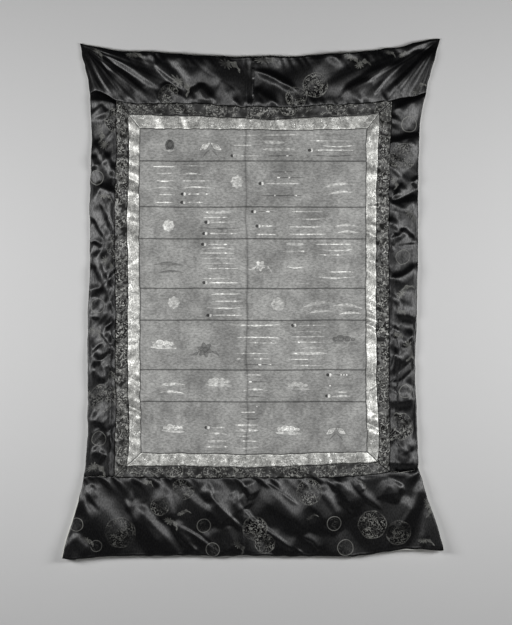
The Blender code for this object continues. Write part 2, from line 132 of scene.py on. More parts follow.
# Folds: soft ridges along a curve through three points (across, down), in mm, with a width and a height.
# lean says where the steep side is: 1 to the right of the way the curve runs, -1 to its left, and 0 both.
# The curve is the middle of the steep side, or the crest where there is no lean.
Fold = namedtuple("Fold", "x1 d1 x2 d2 x3 d3 half_width height lean")
# Tension folds out of the two pinned corners, and soft folds between them.
TOP_FOLDS = [Fold(*row) for row in (
    (-457, -5, -430, 62, -392, 108, 4.3, 1.5, 1), (-454, -14, -411, 59, -379, 108, 5.4, 2.5, 1),
    (-446, -8, -403, 54, -368, 111, 4.1, 1.2, 1), (-422, 3, -358, 62, -306, 132, 5.9, 3.2, 1),
    (-354, 68, -330, 92, -311, 113, 11, 2.5, 1), (-403, -3, -322, 43, -257, 94, 14, 6, 1),
    (-276, 8, -252, 40, -192, 89, 9, 4.5, 1), (-244, 3, -198, 40, -160, 84, 22, 6, 1),
    (-176, 3, -127, 43, -36, 108, 22, 5, 1), (-422, 3, -381, 57, -354, 108, 5.4, 2.5, -1),
    (-381, 14, -333, 54, -279, 111, 14, 5, -1), (-249, 68, -219, 84, -181, 108, 11, 4, -1),
    (-149, 62, -125, 92, -100, 113, 14, 5, -1), (-171, 8, -125, 43, -90, 62, 6.8, 2.5, -1),
    (-92, 57, -68, 73, -41, 94, 9, 3.5, -1), (-451, 3, -422, 62, -387, 111, 4.1, 1.5, -1),
    (-19, 3, -18, 62, -20, 127, 3.8, 4.5, 0), (-2, 3, -1, 68, 1, 130, 4.1, 4.6, 0),
    (8, 36, 64, 57, 116, 89, 11, 6, 0), (5, 81, 35, 100, 70, 124, 14, 5, -1),
    (143, 8, 186, 57, 218, 108, 38, 6, 1), (234, 94, 267, 70, 321, 46, 19, 6, -1),
    (294, 40, 342, 24, 396, 8, 16, 5, -1), (391, 8, 348, 43, 278, 97, 11, 4.5, -1),
    (421, 8, 359, 68, 329, 108, 5.9, 3.5, -1), (483, -38, 437, -19, 402, 8, 14, 4, -1),
    (496, -32, 445, 14, 359, 94, 15, 6, 1), (483, -5, 450, 35, 391, 97, 14, 5, -1),
    (494, -19, 472, 35, 440, 89, 5.4, 2, -1), (407, 73, 380, 89, 372, 111, 5.4, 2, -1),
)]
# Folds that run down to the right, and out to the right corner.
BOTTOM_FOLDS = [Fold(*row) for row in (
    (-457, 1174, -446, 1210, -422, 1250, 6.8, 3, -1), (-454, 1161, -433, 1196, -403, 1237, 9, 4, 1),
    (-435, 1148, -422, 1166, -411, 1191, 6.8, 3, -1), (-411, 1180, -365, 1237, -316, 1293, 32, 5, -1),
    (-349, 1196, -330, 1234, -308, 1282, 9, 4.5, 1), (-326, 1166, -322, 1218, -311, 1272, 4.1, 2.5, -1),
    (-315, 1204, -308, 1237, -298, 1272, 3.2, 1.5, -1), (-308, 1223, -287, 1282, -246, 1339, 12, 6, 1),
    (-314, 1196, -268, 1247, -187, 1339, 19, 8, -1), (-230, 1250, -203, 1293, -165, 1339, 9, 4, 1),
    (-244, 1158, -219, 1202, -198, 1256, 16, 4, -1), (-219, 1250, -144, 1293, -84, 1339, 5.4, 3, -1),
    (-154, 1277, -117, 1307, -90, 1328, 5.4, 2.5, 1), (-198, 1148, -144, 1196, -76, 1250, 19, 5, -1),
    (-144, 1212, -111, 1250, -84, 1285, 19, 6, 1), (-114, 1148, -103, 1188, -22, 1269, 8, 5, -1),
    (-122, 1174, -98, 1212, -55, 1250, 6.8, 4, 1), (-41, 1169, -33, 1207, 24, 1264, 9, 5, -1),
    (-63, 1196, -46, 1218, -36, 1234, 11, 4, 1), (-30, 1148, -19, 1174, -9, 1196, 8, 5, 1),
    (-9, 1153, -11, 1180, -19, 1204, 4.1, 2, 0), (-79, 1242, -57, 1293, -33, 1339, 22, 5, -1),
    (-79, 1253, -68, 1291, -41, 1328, 5.4, 3, 1), (-84, 1296, -68, 1318, -55, 1336, 8, 3, -1),
    (-176, 1304, -160, 1318, -144, 1336, 8, 3, -1), (-478, 1277, -457, 1304, -427, 1336, 16, 4, -1),
    (-36, 1228, 24, 1258, 126, 1336, 8, 5, -1), (51, 1277, 94, 1307, 140, 1339, 3.2, 2, -1),
    (24, 1277, 78, 1315, 116, 1336, 11, 5, 1), (40, 1153, 86, 1196, 159, 1277, 24, 6, -1),
    (32, 1148, 86, 1180, 134, 1215, 5.4, 3, -1), (24, 1196, 59, 1231, 140, 1291, 16, 6, 1),
    (126, 1296, 159, 1310, 175, 1336, 5.4, 3, 1), (175, 1148, 213, 1196, 248, 1264, 22, 8, -1),
    (140, 1210, 175, 1239, 207, 1291, 16, 6, 1), (194, 1148, 234, 1185, 267, 1237, 14, 6, 1),
    (248, 1153, 261, 1183, 267, 1215, 14, 4, -1), (256, 1142, 283, 1174, 342, 1223, 5.4, 3, 1),
    (283, 1139, 296, 1158, 305, 1172, 6.8, 3, -1), (353, 1137, 383, 1161, 391, 1191, 16, 4, -1),
    (445, 1142, 429, 1196, 359, 1304, 14, 5, 1), (450, 1204, 418, 1250, 396, 1304, 16, 5, -1),
    (464, 1210, 461, 1264, 453, 1323, 11, 3, 0), (407, 1156, 396, 1174, 391, 1210, 11, 4, -1),
)]
# Drawn-in folds of the narrow left panel.
LEFT_FOLDS = [Fold(*row) for row in (
    (-408, 251, -392, 289, -370, 327, 11, 6, 0), (-433, 232, -416, 270, -395, 305, 9, 4, 1),
    (-435, 265, -427, 284, -419, 305, 11, 5, -1), (-422, 340, -397, 351, -365, 364, 14, 6, -1),
    (-427, 354, -411, 375, -373, 473, 5.4, 3, 1), (-416, 386, -400, 432, -376, 489, 6.8, 4, -1),
    (-435, 429, -419, 462, -400, 494, 8, 4, -1), (-438, 494, -422, 502, -406, 524, 9, 4, -1),
    (-435, 554, -422, 583, -403, 629, 8, 4, -1), (-424, 521, -406, 575, -381, 629, 8, 4, 1),
    (-441, 645, -422, 645, -403, 653, 11, 5, -1), (-403, 618, -392, 662, -368, 710, 14, 6, -1),
    (-441, 702, -424, 707, -411, 707, 8, 4, 1), (-406, 737, -389, 756, -368, 780, 14, 6, 1),
    (-414, 745, -395, 772, -370, 796, 5.4, 2.5, -1), (-438, 799, -424, 810, -408, 824, 11, 5, 1),
    (-443, 837, -424, 861, -403, 883, 14, 6, 1), (-400, 837, -387, 845, -368, 845, 8, 4, 1),
    (-443, 983, -414, 994, -395, 1018, 14, 6, 1), (-403, 1013, -387, 1040, -368, 1075, 16, 6, 1),
    (-406, 986, -392, 1007, -373, 1018, 8, 3, -1), (-441, 1066, -427, 1075, -411, 1077, 9, 4, 1),
    (-435, 1053, -414, 1064, -392, 1075, 6.8, 3, -1), (-438, 108, -406, 111, -368, 122, 8, 4, -1),
    (-411, 119, -397, 138, -387, 162, 11, 4, -1),
)]
# Drawn-in folds of the narrow right panel.
RIGHT_FOLDS = [Fold(*row) for row in (
    (375, 140, 404, 127, 448, 108, 11, 5, -1), (402, 165, 418, 140, 445, 124, 6.8, 3, 1),
    (350, 235, 394, 221, 448, 208, 12, 7, -1), (410, 224, 426, 227, 445, 243, 8, 4, -1),
    (426, 338, 437, 329, 448, 321, 8, 4, -1), (369, 383, 388, 364, 399, 340, 5.4, 3, -1),
    (369, 394, 407, 386, 448, 378, 12, 7, -1), (369, 483, 391, 478, 407, 459, 11, 6, -1),
    (394, 495, 418, 494, 445, 494, 3.2, 1.5, -1), (375, 510, 407, 505, 445, 502, 4.1, 2.5, -1),
    (369, 589, 404, 583, 445, 554, 11, 6, -1), (388, 702, 415, 705, 442, 713, 14, 7, 1),
    (367, 748, 380, 753, 394, 753, 8, 4, 1), (402, 786, 421, 770, 442, 748, 9, 5, 1),
    (372, 861, 380, 826, 399, 796, 16, 6, 1), (372, 875, 399, 869, 429, 840, 6.8, 3, -1),
    (369, 942, 404, 942, 442, 934, 16, 8, 1), (394, 1080, 421, 1066, 445, 1045, 9, 4, 1),
    (369, 1102, 404, 1104, 445, 1104, 15, 7, 1), (372, 1083, 407, 1080, 442, 1076, 3.2, 1.5, -1),
)]
# Creases that cross the brocade strips.
STRIP_FOLDS = [Fold(*row) for row in (
    (-370, 348, -338, 359, -303, 370, 6.8, 2.5, -1), (-341, 435, -322, 437, -303, 446, 5.4, 1.5, 1),
    (-365, 926, -354, 932, -341, 940, 4.1, 2.5, 1), (-368, 1002, -354, 1002, -338, 999, 5.4, 3, 1),
    (-365, 521, -352, 532, -341, 548, 4.1, 2, -1), (-368, 748, -357, 751, -343, 748, 5.4, 2.5, 1),
    (307, 400, 332, 400, 369, 394, 3.2, 2, -1), (307, 451, 321, 451, 334, 451, 3.2, 1.5, -1),
    (302, 902, 321, 896, 342, 880, 3.2, 1.5, 1), (337, 643, 353, 634, 364, 629, 3.2, 2, -1),
    (342, 883, 353, 880, 364, 883, 6.8, 3, 1), (345, 236, 364, 234, 383, 230, 3.2, 2.5, -1),
    (342, 975, 353, 977, 367, 980, 5.4, 2.5, 1), (-362, 119, -352, 135, -341, 154, 4.1, 3, -1),
)]

# Woven and painted figures, each with its own outline. size is its half width in mm, and slim how many
# times longer than high it is. petals and depth shape the outline, ring is the place of an inner ring,
# and tone how strongly it is woven or painted, below zero where it is dark.
Figure = namedtuple("Figure", "across down size slim turn petals depth ring tone")

Roundel = namedtuple("Roundel", "across down size tone")
LARGE_ROUNDELS = [Roundel(*row) for row in (
    (167, 76, 35, 0.9), (-408, 921, 38, 0.7), (404, 270, 38, 0.7), (396, 999, 38, 1.0),
    (151, 1174, 36, 0.8), (321, 1261, 40, 1.0), (5, 1272, 35, 1.0), (-373, 173, 34, 1.0),
    (116, 111, 30, 1.0), (-187, 1166, 30, 0.5), (-357, 1282, 43, 0.4), (-230, 100, 27, 1.0),
    (-368, 513, 35, 0.7), (-365, 888, 35, 0.7), (391, 1282, 35, 0.5), (32, 1312, 28, 0.9),
    (-252, 1212, 26, 0.7),
)]
SMALL_ROUNDELS = [Roundel(*row) for row in (
    (-422, 327, 20, 1.0), (-419, 672, 20, 0.6), (-416, 1029, 20, 0.6), (404, 540, 20, 0.6),
    (410, 902, 18, 1.0), (421, 181, 22, 0.9), (-476, 1261, 19, 0.9), (-133, 1264, 19, 0.6),
    (218, 1258, 20, 0.9), (248, 1323, 22, 0.7), (-109, 1328, 19, 0.8), (245, 162, 19, 0.7),
    (-422, 1318, 16, 0.5),
)]
Sprig = namedtuple("Sprig", "across down size slim turn")
SPRIGS = [Sprig(*row) for row in (
    (-192, 73, 38, 1.6, 0.6), (-63, 22, 30, 1.3, 0.2), (37, 11, 35, 2.2, 0.1), (-316, -3, 27, 2.4, 0.1),
    (-419, -11, 22, 2.0, 0.8), (267, 5, 24, 1.6, 0.5), (294, 19, 22, 1.2, -0.4), (369, -11, 16, 1.5, 0.3),
    (407, -8, 16, 1.6, -0.5), (448, 84, 24, 1.5, -0.8), (-414, 205, 27, 1.3, 1.2),
    (-395, 240, 24, 1.2, 0.3), (-397, 378, 22, 2.2, 0.2), (-392, 556, 24, 1.3, 0.9),
    (-427, 742, 22, 1.3, 0.4), (-422, 1110, 30, 1.4, 0.3), (-441, 913, 19, 1.2, 0.4),
    (383, 338, 19, 1.4, 1.2), (426, 429, 27, 1.5, 1.0), (407, 632, 30, 1.9, -0.8),
    (421, 791, 30, 1.4, 1.3), (391, 751, 16, 1.5, 0.2), (-219, 1256, 24, 1.5, 0.5),
    (-187, 1228, 19, 2.0, -0.4), (159, 1239, 16, 1.8, -0.5), (-441, 1307, 22, 1.8, 0.6),
    (472, 1215, 27, 1.7, 1.3), (464, 1304, 24, 2.2, 0.1), (-284, 1148, 16, 1.4, 0.2),
    (294, 1150, 16, 1.6, 0.6), (-36, 1320, 22, 1.5, 0.8), (440, 656, 19, 1.5, 1.2),
    (399, 688, 14, 1.2, 0.2),
)]

# The four dark panels: their edges as named lines, left to right and top to bottom, the sides that are open
# hems, the ends that meet the top and foot panels, and the flat size in metres.
Panel = namedtuple("Panel", "name side top foot left right hems ends flat")
PANELS = [
    Panel("mount_top", "top", ["hem_top"], ["seam_top_left", "middle_top", "seam_top_right"],
          ["hem_left_top"], ["hem_right_top"], ("top", "left", "right"), (), (0.98, 0.15)),
    Panel("mount_bottom", "foot", ["seam_foot_left", "middle_foot", "seam_foot_right"], ["hem_foot"],
          ["hem_left_foot"], ["hem_right_foot"], ("foot", "left", "right"), (), (1.03, 0.22)),
    Panel("mount_left", "left", ["seam_top_left"], ["seam_foot_left"],
          ["hem_left"], ["middle_left"], ("left",), ("top", "foot"), (0.08, 1.04)),
    Panel("mount_right", "right", ["seam_top_right"], ["seam_foot_right"],
          ["middle_right"], ["hem_right"], ("right",), ("top", "foot"), (0.08, 1.02)),
]
SIDES = ("top", "foot", "left", "right")
ENDS = SIDES[:2]

# The painting's own generic design: ruled bands with blocks of thin beaded lines, and motifs between them.
# The rules are in mm down, and the field that they divide is in mm down and to both sides.
RULES = [281, 405, 491, 625, 711, 845, 931]
FIELD_TOP, FIELD_FOOT, FIELD_SIDE = 197, 1068, 298


def linear(code):
    """An sRGB hex colour as linear red, green, blue and alpha."""
    parts = [int(code[place:place + 2], 16) / 255 for place in (1, 3, 5)]
    return [v / 12.92 if v <= 0.04045 else ((v + 0.055) / 1.055) ** 2.4 for v in parts] + [1.0]


def colour(name, code, description):
    """A colour setting, from an sRGB hex colour."""
    return FloatVectorProperty(name=name, description=description, subtype="COLOR", size=4,
                               min=0, max=1, default=linear(code))


def length(name, millimetres, description):
    """A length setting, from millimetres."""
    return FloatProperty(name=name, description=description, unit="LENGTH", default=millimetres * MM)


class HangingSizes(bpy.types.PropertyGroup):
    satin_cell: length("Satin cell", 2.5, "Spacing of the points on the dark satin")
    strip_cell: length("Strip cell", 2.8, "Spacing of the points on the brocade strips")
    painting_cell: length("Painting cell", 3.9, "Spacing of the points on the painted cotton")
    lining_cell: length("Lining cell", 9.0, "Spacing of the points on the lining")
    thickness: length("Cloth thickness", 0.8, "Thickness of each cloth")
    seam_drop: length("Seam drop", 0.6, "How far a cloth turns back at a seam")
    hem_width: length("Hem width", 7.0, "Width of the turned hem along the outside")
    hem_rise: length("Hem rise", 0.5, "How far the turned hem stands up")
    lining_behind: length("Lining behind", 1.9, "From the front cloths' face to the lining's face")
    lining_shows: length("Lining shows", 3.2, "How far the lining reaches past the front where it shows")
    wall_behind: length("Wall behind", 11.5, "From the origin back to the wall of the studio")


class HangingColours(bpy.types.PropertyGroup):
    satin: colour("Satin", "#060607", "Ground of the dark satin")
    satin_thread: colour("Satin thread", "#70706c", "Figures woven in the dark satin")
    middle: colour("Middle brocade", "#4b4b49", "Ground of the middle strips at the sides")
    # the middle strips at the top and foot get a darker ground and thread than those at the sides: painted
    # shade, for the weaker sheen of the same silk there
    middle_ends: colour("Middle brocade, ends", "#20201f", "Ground of the middle strips at top and foot")
    middle_thread: colour("Middle thread", "#979793", "Figures woven in the middle strips")
    middle_ends_thread: colour("Middle thread, ends", "#7f7f7b", "Figures of the middle strips at the ends")
    light: colour("Light brocade", "#b9b9b5", "Ground of the light strips")
    light_thread: colour("Light thread", "#e6e6e2", "Figures woven in the light strips")
    ground: colour("Painted ground", "#8e8e8c", "Primed cotton under the painting")
    pale_paint: colour("Pale paint", "#eeeeea", "Pale figures of the painting")
    dark_paint: colour("Dark paint", "#3a3a39", "Outlines and ruled lines of the painting")
    lining: colour("Lining", "#e0e0da", "Plain cotton at the back")
    studio: colour("Studio", "#c4c4c4", "Wall and floor of the studio")


# ---------------------------------------------------------------- shapes of the cloths

def smooth_step(value):
    """0 below 0, 1 above 1, and an easy slope between."""
    t = np.clip(value, 0.0, 1.0)
    return t * t * (3.0 - 2.0 * t)


def smooth_curve(points):
    """Points at even steps along a Catmull-Rom curve."""
    knots = np.array(points, dtype=float)
    ends = np.vstack([2 * knots[0] - knots[1], knots, 2 * knots[-1] - knots[-2]])
    fine = []
    for before, start, stop, after in zip(ends[:-3], ends[1:-2], ends[2:-1], ends[3:]):
        span = np.linalg.norm(stop - start)
        into = (stop - before) / (span + np.linalg.norm(start - before)) * span
        out = (after - start) / (span + np.linalg.norm(after - stop)) * span
        t = np.linspace(0.0, 1.0, 24, endpoint=False)[:, None]
        fine.append((2 * t**3 - 3 * t**2 + 1) * start + (t**3 - 2 * t**2 + t) * into
                    + (3 * t**2 - 2 * t**3) * stop + (t**3 - t**2) * out)
    return np.vstack(fine + [knots[-1:]])


def places_along(line):
    """Distance of each point of a line from its start."""
    return np.concatenate([[0.0], np.cumsum(np.linalg.norm(np.diff(line, axis=0), axis=1))])


def edge_points(names, shares):
    """Points on named lines joined end to end, at shares of their whole length."""
    curves = [smooth_curve(LINES[name]) for name in names]
    line = np.vstack([curves[0]] + [curve[1:] for curve in curves[1:]])
    place = places_along(line)
    wanted = np.asarray(shares) * place[-1]
    return np.column_stack([np.interp(wanted, place, line[:, axis]) for axis in (0, 1)])


def shares_along(whole, cell):
    """Shares of a length with even cells, and three finer ones where the edge turns back."""
    edge = np.array(EDGE_STEPS) / whole
    cells = max(2, round((whole - 2 * EDGE_STEPS[-1]) / cell))
    even = np.linspace(edge[-1], 1 - edge[-1], cells + 1)
    return np.concatenate([edge[:-1], even, 1 - edge[:-1][::-1]])


def cut_plan(edges, cell):
    """Plan of a cloth between its four edges, as (rows, columns, 2) in mm."""
    whole = [places_along(edge_points(names, np.linspace(0, 1, 60)))[-1] for names in edges]
    columns = shares_along(max(whole[:2]), cell)
    rows = shares_along(max(whole[2:]), cell)
    top, foot = (edge_points(names, columns) for names in edges[:2])
    left, right = (edge_points(names, rows)[:, None] for names in edges[2:])
    across, down = columns[None, :, None], rows[:, None, None]
    ruled = (1 - down) * top[None] + down * foot[None] + (1 - across) * left + across * right
    corners = ((1 - across) * (1 - down) * top[0] + across * (1 - down) * top[-1]
               + (1 - across) * down * foot[0] + across * down * foot[-1])
    return unevenness(ruled - corners)


def hang_forward(across, down):
    """How far the hanging stands forward of its back plane, without its folds."""
    heights, middle, side = np.array(STAND_OFF).T
    middle, side = np.interp(down, heights, middle), np.interp(down, heights, side)
    forward = middle + (side - middle) * np.abs(across / HALF_WIDTH) ** SIDE_BEND
    for wave in WAVES:
        along = (down - wave.start) / (wave.end - wave.start)
        offset = (across - wave.across - wave.lean * along) / wave.half_width
        rise = smooth_step(along / WAVE_END) * smooth_step((1 + WAVE_END - along) / WAVE_END)
        forward = forward + wave.height * rise * np.exp(-offset**2)
    return forward


def spline_shares(t):
    """Shares of four neighbours in a cubic spline, at a place t between the middle two."""
    return (1 - t)**3 / 6, (3 * t**3 - 6 * t**2 + 4) / 6, (3 * t + 3 * t**2 - 3 * t**3 + 1) / 6, t**3 / 6


def ripple(u, v, seed):
    """Smooth random waves, mostly between -1 and 1, one cell to each unit of u and v."""
    table = np.random.default_rng(seed).uniform(-2, 2, (NOISE_CELLS, NOISE_CELLS))
    column, row = np.floor(u).astype(int), np.floor(v).astype(int)
    total = 0.0
    for down_step, down_share in enumerate(spline_shares(v - row)):
        for across_step, across_share in enumerate(spline_shares(u - column)):
            knot = table[(row + down_step) % NOISE_CELLS, (column + across_step) % NOISE_CELLS]
            total = total + down_share * across_share * knot
    return total


def bumps(u, v, seed):
    """The same waves as soft bumps between 0 and 1."""
    return 0.5 + 0.5 * np.clip(ripple(u, v, seed), -1, 1)


def puckers(u, v, seed):
    """The same waves, small below zero, for cloth that is drawn in by its stitches."""
    wave = ripple(u, v, seed)
    return np.where(wave > 0, wave, 0.3 * wave)


def creases(u, v, seed):
    """The same waves folded over where they cross zero: rounded bumps with sharp valleys between."""
    return np.sqrt(ripple(u, v, seed)**2 + 0.01)


def fold_height(across, down, folds):
    """Height of the folds over the cloth; where two meet, the higher one leads."""
    wander = (FOLD_WANDER * ripple(across / 37, down / 41, 11),
              FOLD_WANDER * ripple(across / 43, down / 39, 12))
    across, down = across + wander[0], down + wander[1]
    total = np.zeros_like(across)
    for fold in folds:
        curve = smooth_curve([(fold.x1, fold.d1), (fold.x2, fold.d2), (fold.x3, fold.d3)])[::3]
        gentle = fold.half_width * (1 + GENTLE_SHARE * abs(fold.lean))
        low, high = curve.min(axis=0) - 3 * gentle, curve.max(axis=0) + 3 * gentle
        near = (across > low[0]) & (across < high[0]) & (down > low[1]) & (down < high[1])
        x, d = across[near], down[near]
        nearest = np.full(x.shape, np.inf)
        along, side = np.zeros(x.shape), np.zeros(x.shape)
        for step, (start, stop) in enumerate(zip(curve[:-1], curve[1:])):
            run = stop - start
            part = ((x - start[0]) * run[0] + (d - start[1]) * run[1]) / run.dot(run)
            # the first and last stretches run on past the curve's ends
            held = np.clip(part, -1.0 if step == 0 else 0.0, 2.0 if step == len(curve) - 2 else 1.0)
            away = np.hypot(x - start[0] - held * run[0], d - start[1] - held * run[1])
            closer = away < nearest
            nearest = np.where(closer, away, nearest)
            side = np.where(closer, run[0] * (d - start[1]) - run[1] * (x - start[0]), side)
            along = np.where(closer, (step + held) / (len(curve) - 1), along)
        offset = nearest * np.sign(side) + CREST_SHIFT * fold.lean * fold.half_width
        rise = smooth_step((along + FOLD_PAST) / FOLD_END)
        rise = rise * smooth_step((1 + FOLD_PAST - along) / FOLD_END)
        width = np.where(offset * fold.lean < 0, gentle, fold.half_width) * (0.4 + 0.6 * rise)
        total[near] += (fold.height * rise * np.exp(-(offset / width) ** 2)) ** 3
    return FOLD_LIFT * np.cbrt(total)


def corner_wrinkles(across, down, corner, seed):
    """Fine wrinkles that fan out of a pinned corner and die away from it."""
    run, drop = across - corner[0], down - corner[1]
    reach, angle = np.hypot(run, drop), np.arctan2(drop, np.abs(run))
    fine = 2.4 * creases(angle * 13, reach / 260, seed) + 1.2 * creases(angle * 32, reach / 200, seed + 7)
    return fine * smooth_step(reach / 50) * np.exp(-reach / 190)


def satin_relief(side, across, down, out):
    """Folds and fine wrinkles of a dark panel. out is the distance in mm from the middle strips' edge."""
    near = np.exp(-np.abs(out) / 18)
    if side == "top":
        hem = down - line_place("hem_top", across, 0)
        away = smooth_step((430 - np.abs(across)) / 120)
        soft = 4.4 * creases((across + np.sign(across) * 1.1 * down) / 58, down / 300, 61) * away
        fan = corner_wrinkles(across, down, LINES["hem_top"][0], 62)
        fan = fan + corner_wrinkles(across, down, LINES["hem_top"][-1], 63)
        hung = 8.0 * creases((across - 0.5 * hem) / 12, hem / 40, 64) * np.exp(-(hem / 24) ** 2)
        hung = hung * bumps(across / 50, hem / 90, 66)
        drawn = 5.0 * puckers((across - 0.4 * down) / 10, down / 24, 65) * near
        return soft + fan + drawn + hung * away + fold_height(across, down, TOP_FOLDS)
    if side == "foot":
        lean = np.interp(across, [-500, 300, 400, 500], [0.7, 0.8, -0.2, -0.4])
        run = across - lean * (down - 1240)
        soft = 6.0 * creases(run / 54, down / 280, 71)
        fine = 0.5 * bumps(run / 15, down / 90, 72)
        hung = 6.0 * puckers(run / 12, down / 30, 73) * near
        hem = line_place("hem_foot", across, 0) - down
        foot = 2.6 * bumps(across / 16, down / 40, 74) * np.exp(-hem / 16)
        return soft + fine + hung + foot + fold_height(across, down, BOTTOM_FOLDS)
    seed, slope, folds = (81, -1.9, LEFT_FOLDS) if side == "left" else (91, 1.0, RIGHT_FOLDS)
    run = (down + slope * across) / math.hypot(1, slope)
    soft = 6.5 * creases(run / 32, across / 120, seed)
    fine = 0.6 * creases(run / 14, across / 80, seed + 1)
    drawn = 5.0 * puckers((down - 0.6 * slope * across) / 12, across / 30, seed + 2)
    return soft + fine + drawn * np.exp(-np.abs(out) / 25) + fold_height(across, down, folds)


def strip_relief(side, across, down):
    """Small folds across the brocade strips, where the cloth is drawn in."""
    run, over = (across, down) if side in ENDS else (down, across)
    wave, strength = (20, 2.8) if side in ENDS else (27, 5.0)
    seed = 20 + 5 * SIDES.index(side)
    fine = 1.1 * creases(run / 15 + over / 40, over / 40, seed)
    strength = strength * (1 + 0.6 * bumps(run / 70, over / 99, seed + 2))
    bands = strength * creases(run / wave - over / 60, over / 120, seed + 1)
    return fine + bands + fold_height(across, down, STRIP_FOLDS)


def unevenness(plan):
    """The small wander of the sewn lines and edges, the same for every cloth at one place."""
    x, d = plan[..., 0], plan[..., 1]
    across = 1.0 * ripple(x / 30, d / 17, 31) + 0.6 * ripple(x / 11, d / 9, 33)
    down = 1.2 * ripple(x / 17, d / 30, 32) + 0.7 * ripple(x / 9, d / 11, 34)
    return plan + np.dstack([across, down])


def line_place(name, where, axis):
    """Where a named line runs: how far down at each place across (axis 0), or how far across at each
    height (axis 1)."""
    curve = smooth_curve(LINES[name])
    return np.interp(where, curve[:, axis], curve[:, 1 - axis])


def outward(band, side, across, down):
    """Distance in mm outward from one side of a band's outline."""
    if side in ENDS:
        past = down - line_place(band + "_" + side, across, 0)
    else:
        past = across - line_place(band + "_" + side, down, 1)
    return past if side in ("foot", "right") else -past


def relief_of(side, across, down):
    """Relief of a panel or strip on one side, the same on both sides of the seam between them."""
    out = outward("middle", side, across, down)
    share = smooth_step((out + BLEND_INSIDE) / BLEND_WIDTH)
    strip = strip_relief(side, across, down)
    return share * satin_relief(side, across, down, out) + (1 - share) * strip


# ---------------------------------------------------------------- making a cloth

def select_only(piece):
    """Selects one piece, because an operator acts on all that is selected."""
    bpy.ops.object.select_all(action="DESELECT")
    piece.select_set(True)
    bpy.context.view_layer.objects.active = piece


def flat_plan(plan, forward):
    """Each point's place on the cloth laid flat, in mm, from the lengths along its rows and columns."""
    points = np.dstack([plan, forward])
    run = np.linalg.norm(np.diff(points, axis=1), axis=2)
    drop = np.linalg.norm(np.diff(points, axis=0), axis=2)
    u = np.pad(np.cumsum(run, axis=1), ((0, 0), (1, 0)))
    v = np.pad(np.cumsum(drop, axis=0), ((1, 0), (0, 0)))
    middle = points.shape[1] // 2
    u = u - u[:, middle:middle + 1] + plan[:, middle:middle + 1, 0]
    return np.dstack([u, v + plan[:1, :, 1]])


def edge_distances(flat):
    """Distance in mm to the top, foot, left and right edges of a cloth."""
    u, v = flat[..., 0], flat[..., 1]
    return {"top": v - v[:1], "foot": v[-1:] - v, "left": u - u[:, :1], "right": u[:, -1:] - u}


def nearest_edge(flat, sides):
    """Distance in mm to the nearest of the named edges, and a long way where there are none."""
    distances = edge_distances(flat)
    return np.minimum.reduce([distances[side] for side in sides] + [np.full(flat.shape[:2], 99.0)])


def figure_coordinates(flat, plan, figures):
    """For each face of a grid: the nearest figure's own coordinates at its corners, and its form."""
    rows, columns = flat.shape[0] - 1, flat.shape[1] - 1
    corners = np.stack([flat[:-1, :-1], flat[:-1, 1:], flat[1:, 1:], flat[1:, :-1]], axis=2)
    local = np.full(corners.shape, 3.0)    # outside every figure
    form, thread = np.zeros((rows, columns, 3)), np.zeros((rows, columns, 3))
    best = np.full((rows, columns), np.inf)
    middle = corners.mean(axis=2)
    cell = np.ptp(plan[..., 0]) / columns
    for figure in figures:
        away = np.hypot(plan[..., 0] - figure.across, plan[..., 1] - figure.down)
        nearest = np.unravel_index(np.argmin(away), away.shape)
        if away[nearest] > 0.8 * figure.size:
            continue
        centre = flat[nearest] + (figure.across, figure.down) - plan[nearest]
        cos, sin = math.cos(figure.turn), math.sin(figure.turn)
        turned = np.array([[cos, -sin * figure.slim], [sin, cos * figure.slim]]) / figure.size
        offset = middle - centre
        near = np.abs(offset).max(axis=2) < 1.3 * figure.size + cell
        reach = np.linalg.norm(offset[near] @ turned, axis=1)
        within = 1 + 0.8 * cell * figure.slim / figure.size
        own = np.zeros((rows, columns), dtype=bool)
        own[near] = (reach < within) & (reach < best[near])
        best[own] = np.linalg.norm((middle[own] - centre) @ turned, axis=1)
        local[own] = (corners[own] - centre) @ turned
        form[own] = (figure.petals, figure.depth, figure.ring)
        thread[own] = (figure.tone, figure.size / figure.slim, 0.0)
    return local, form, thread


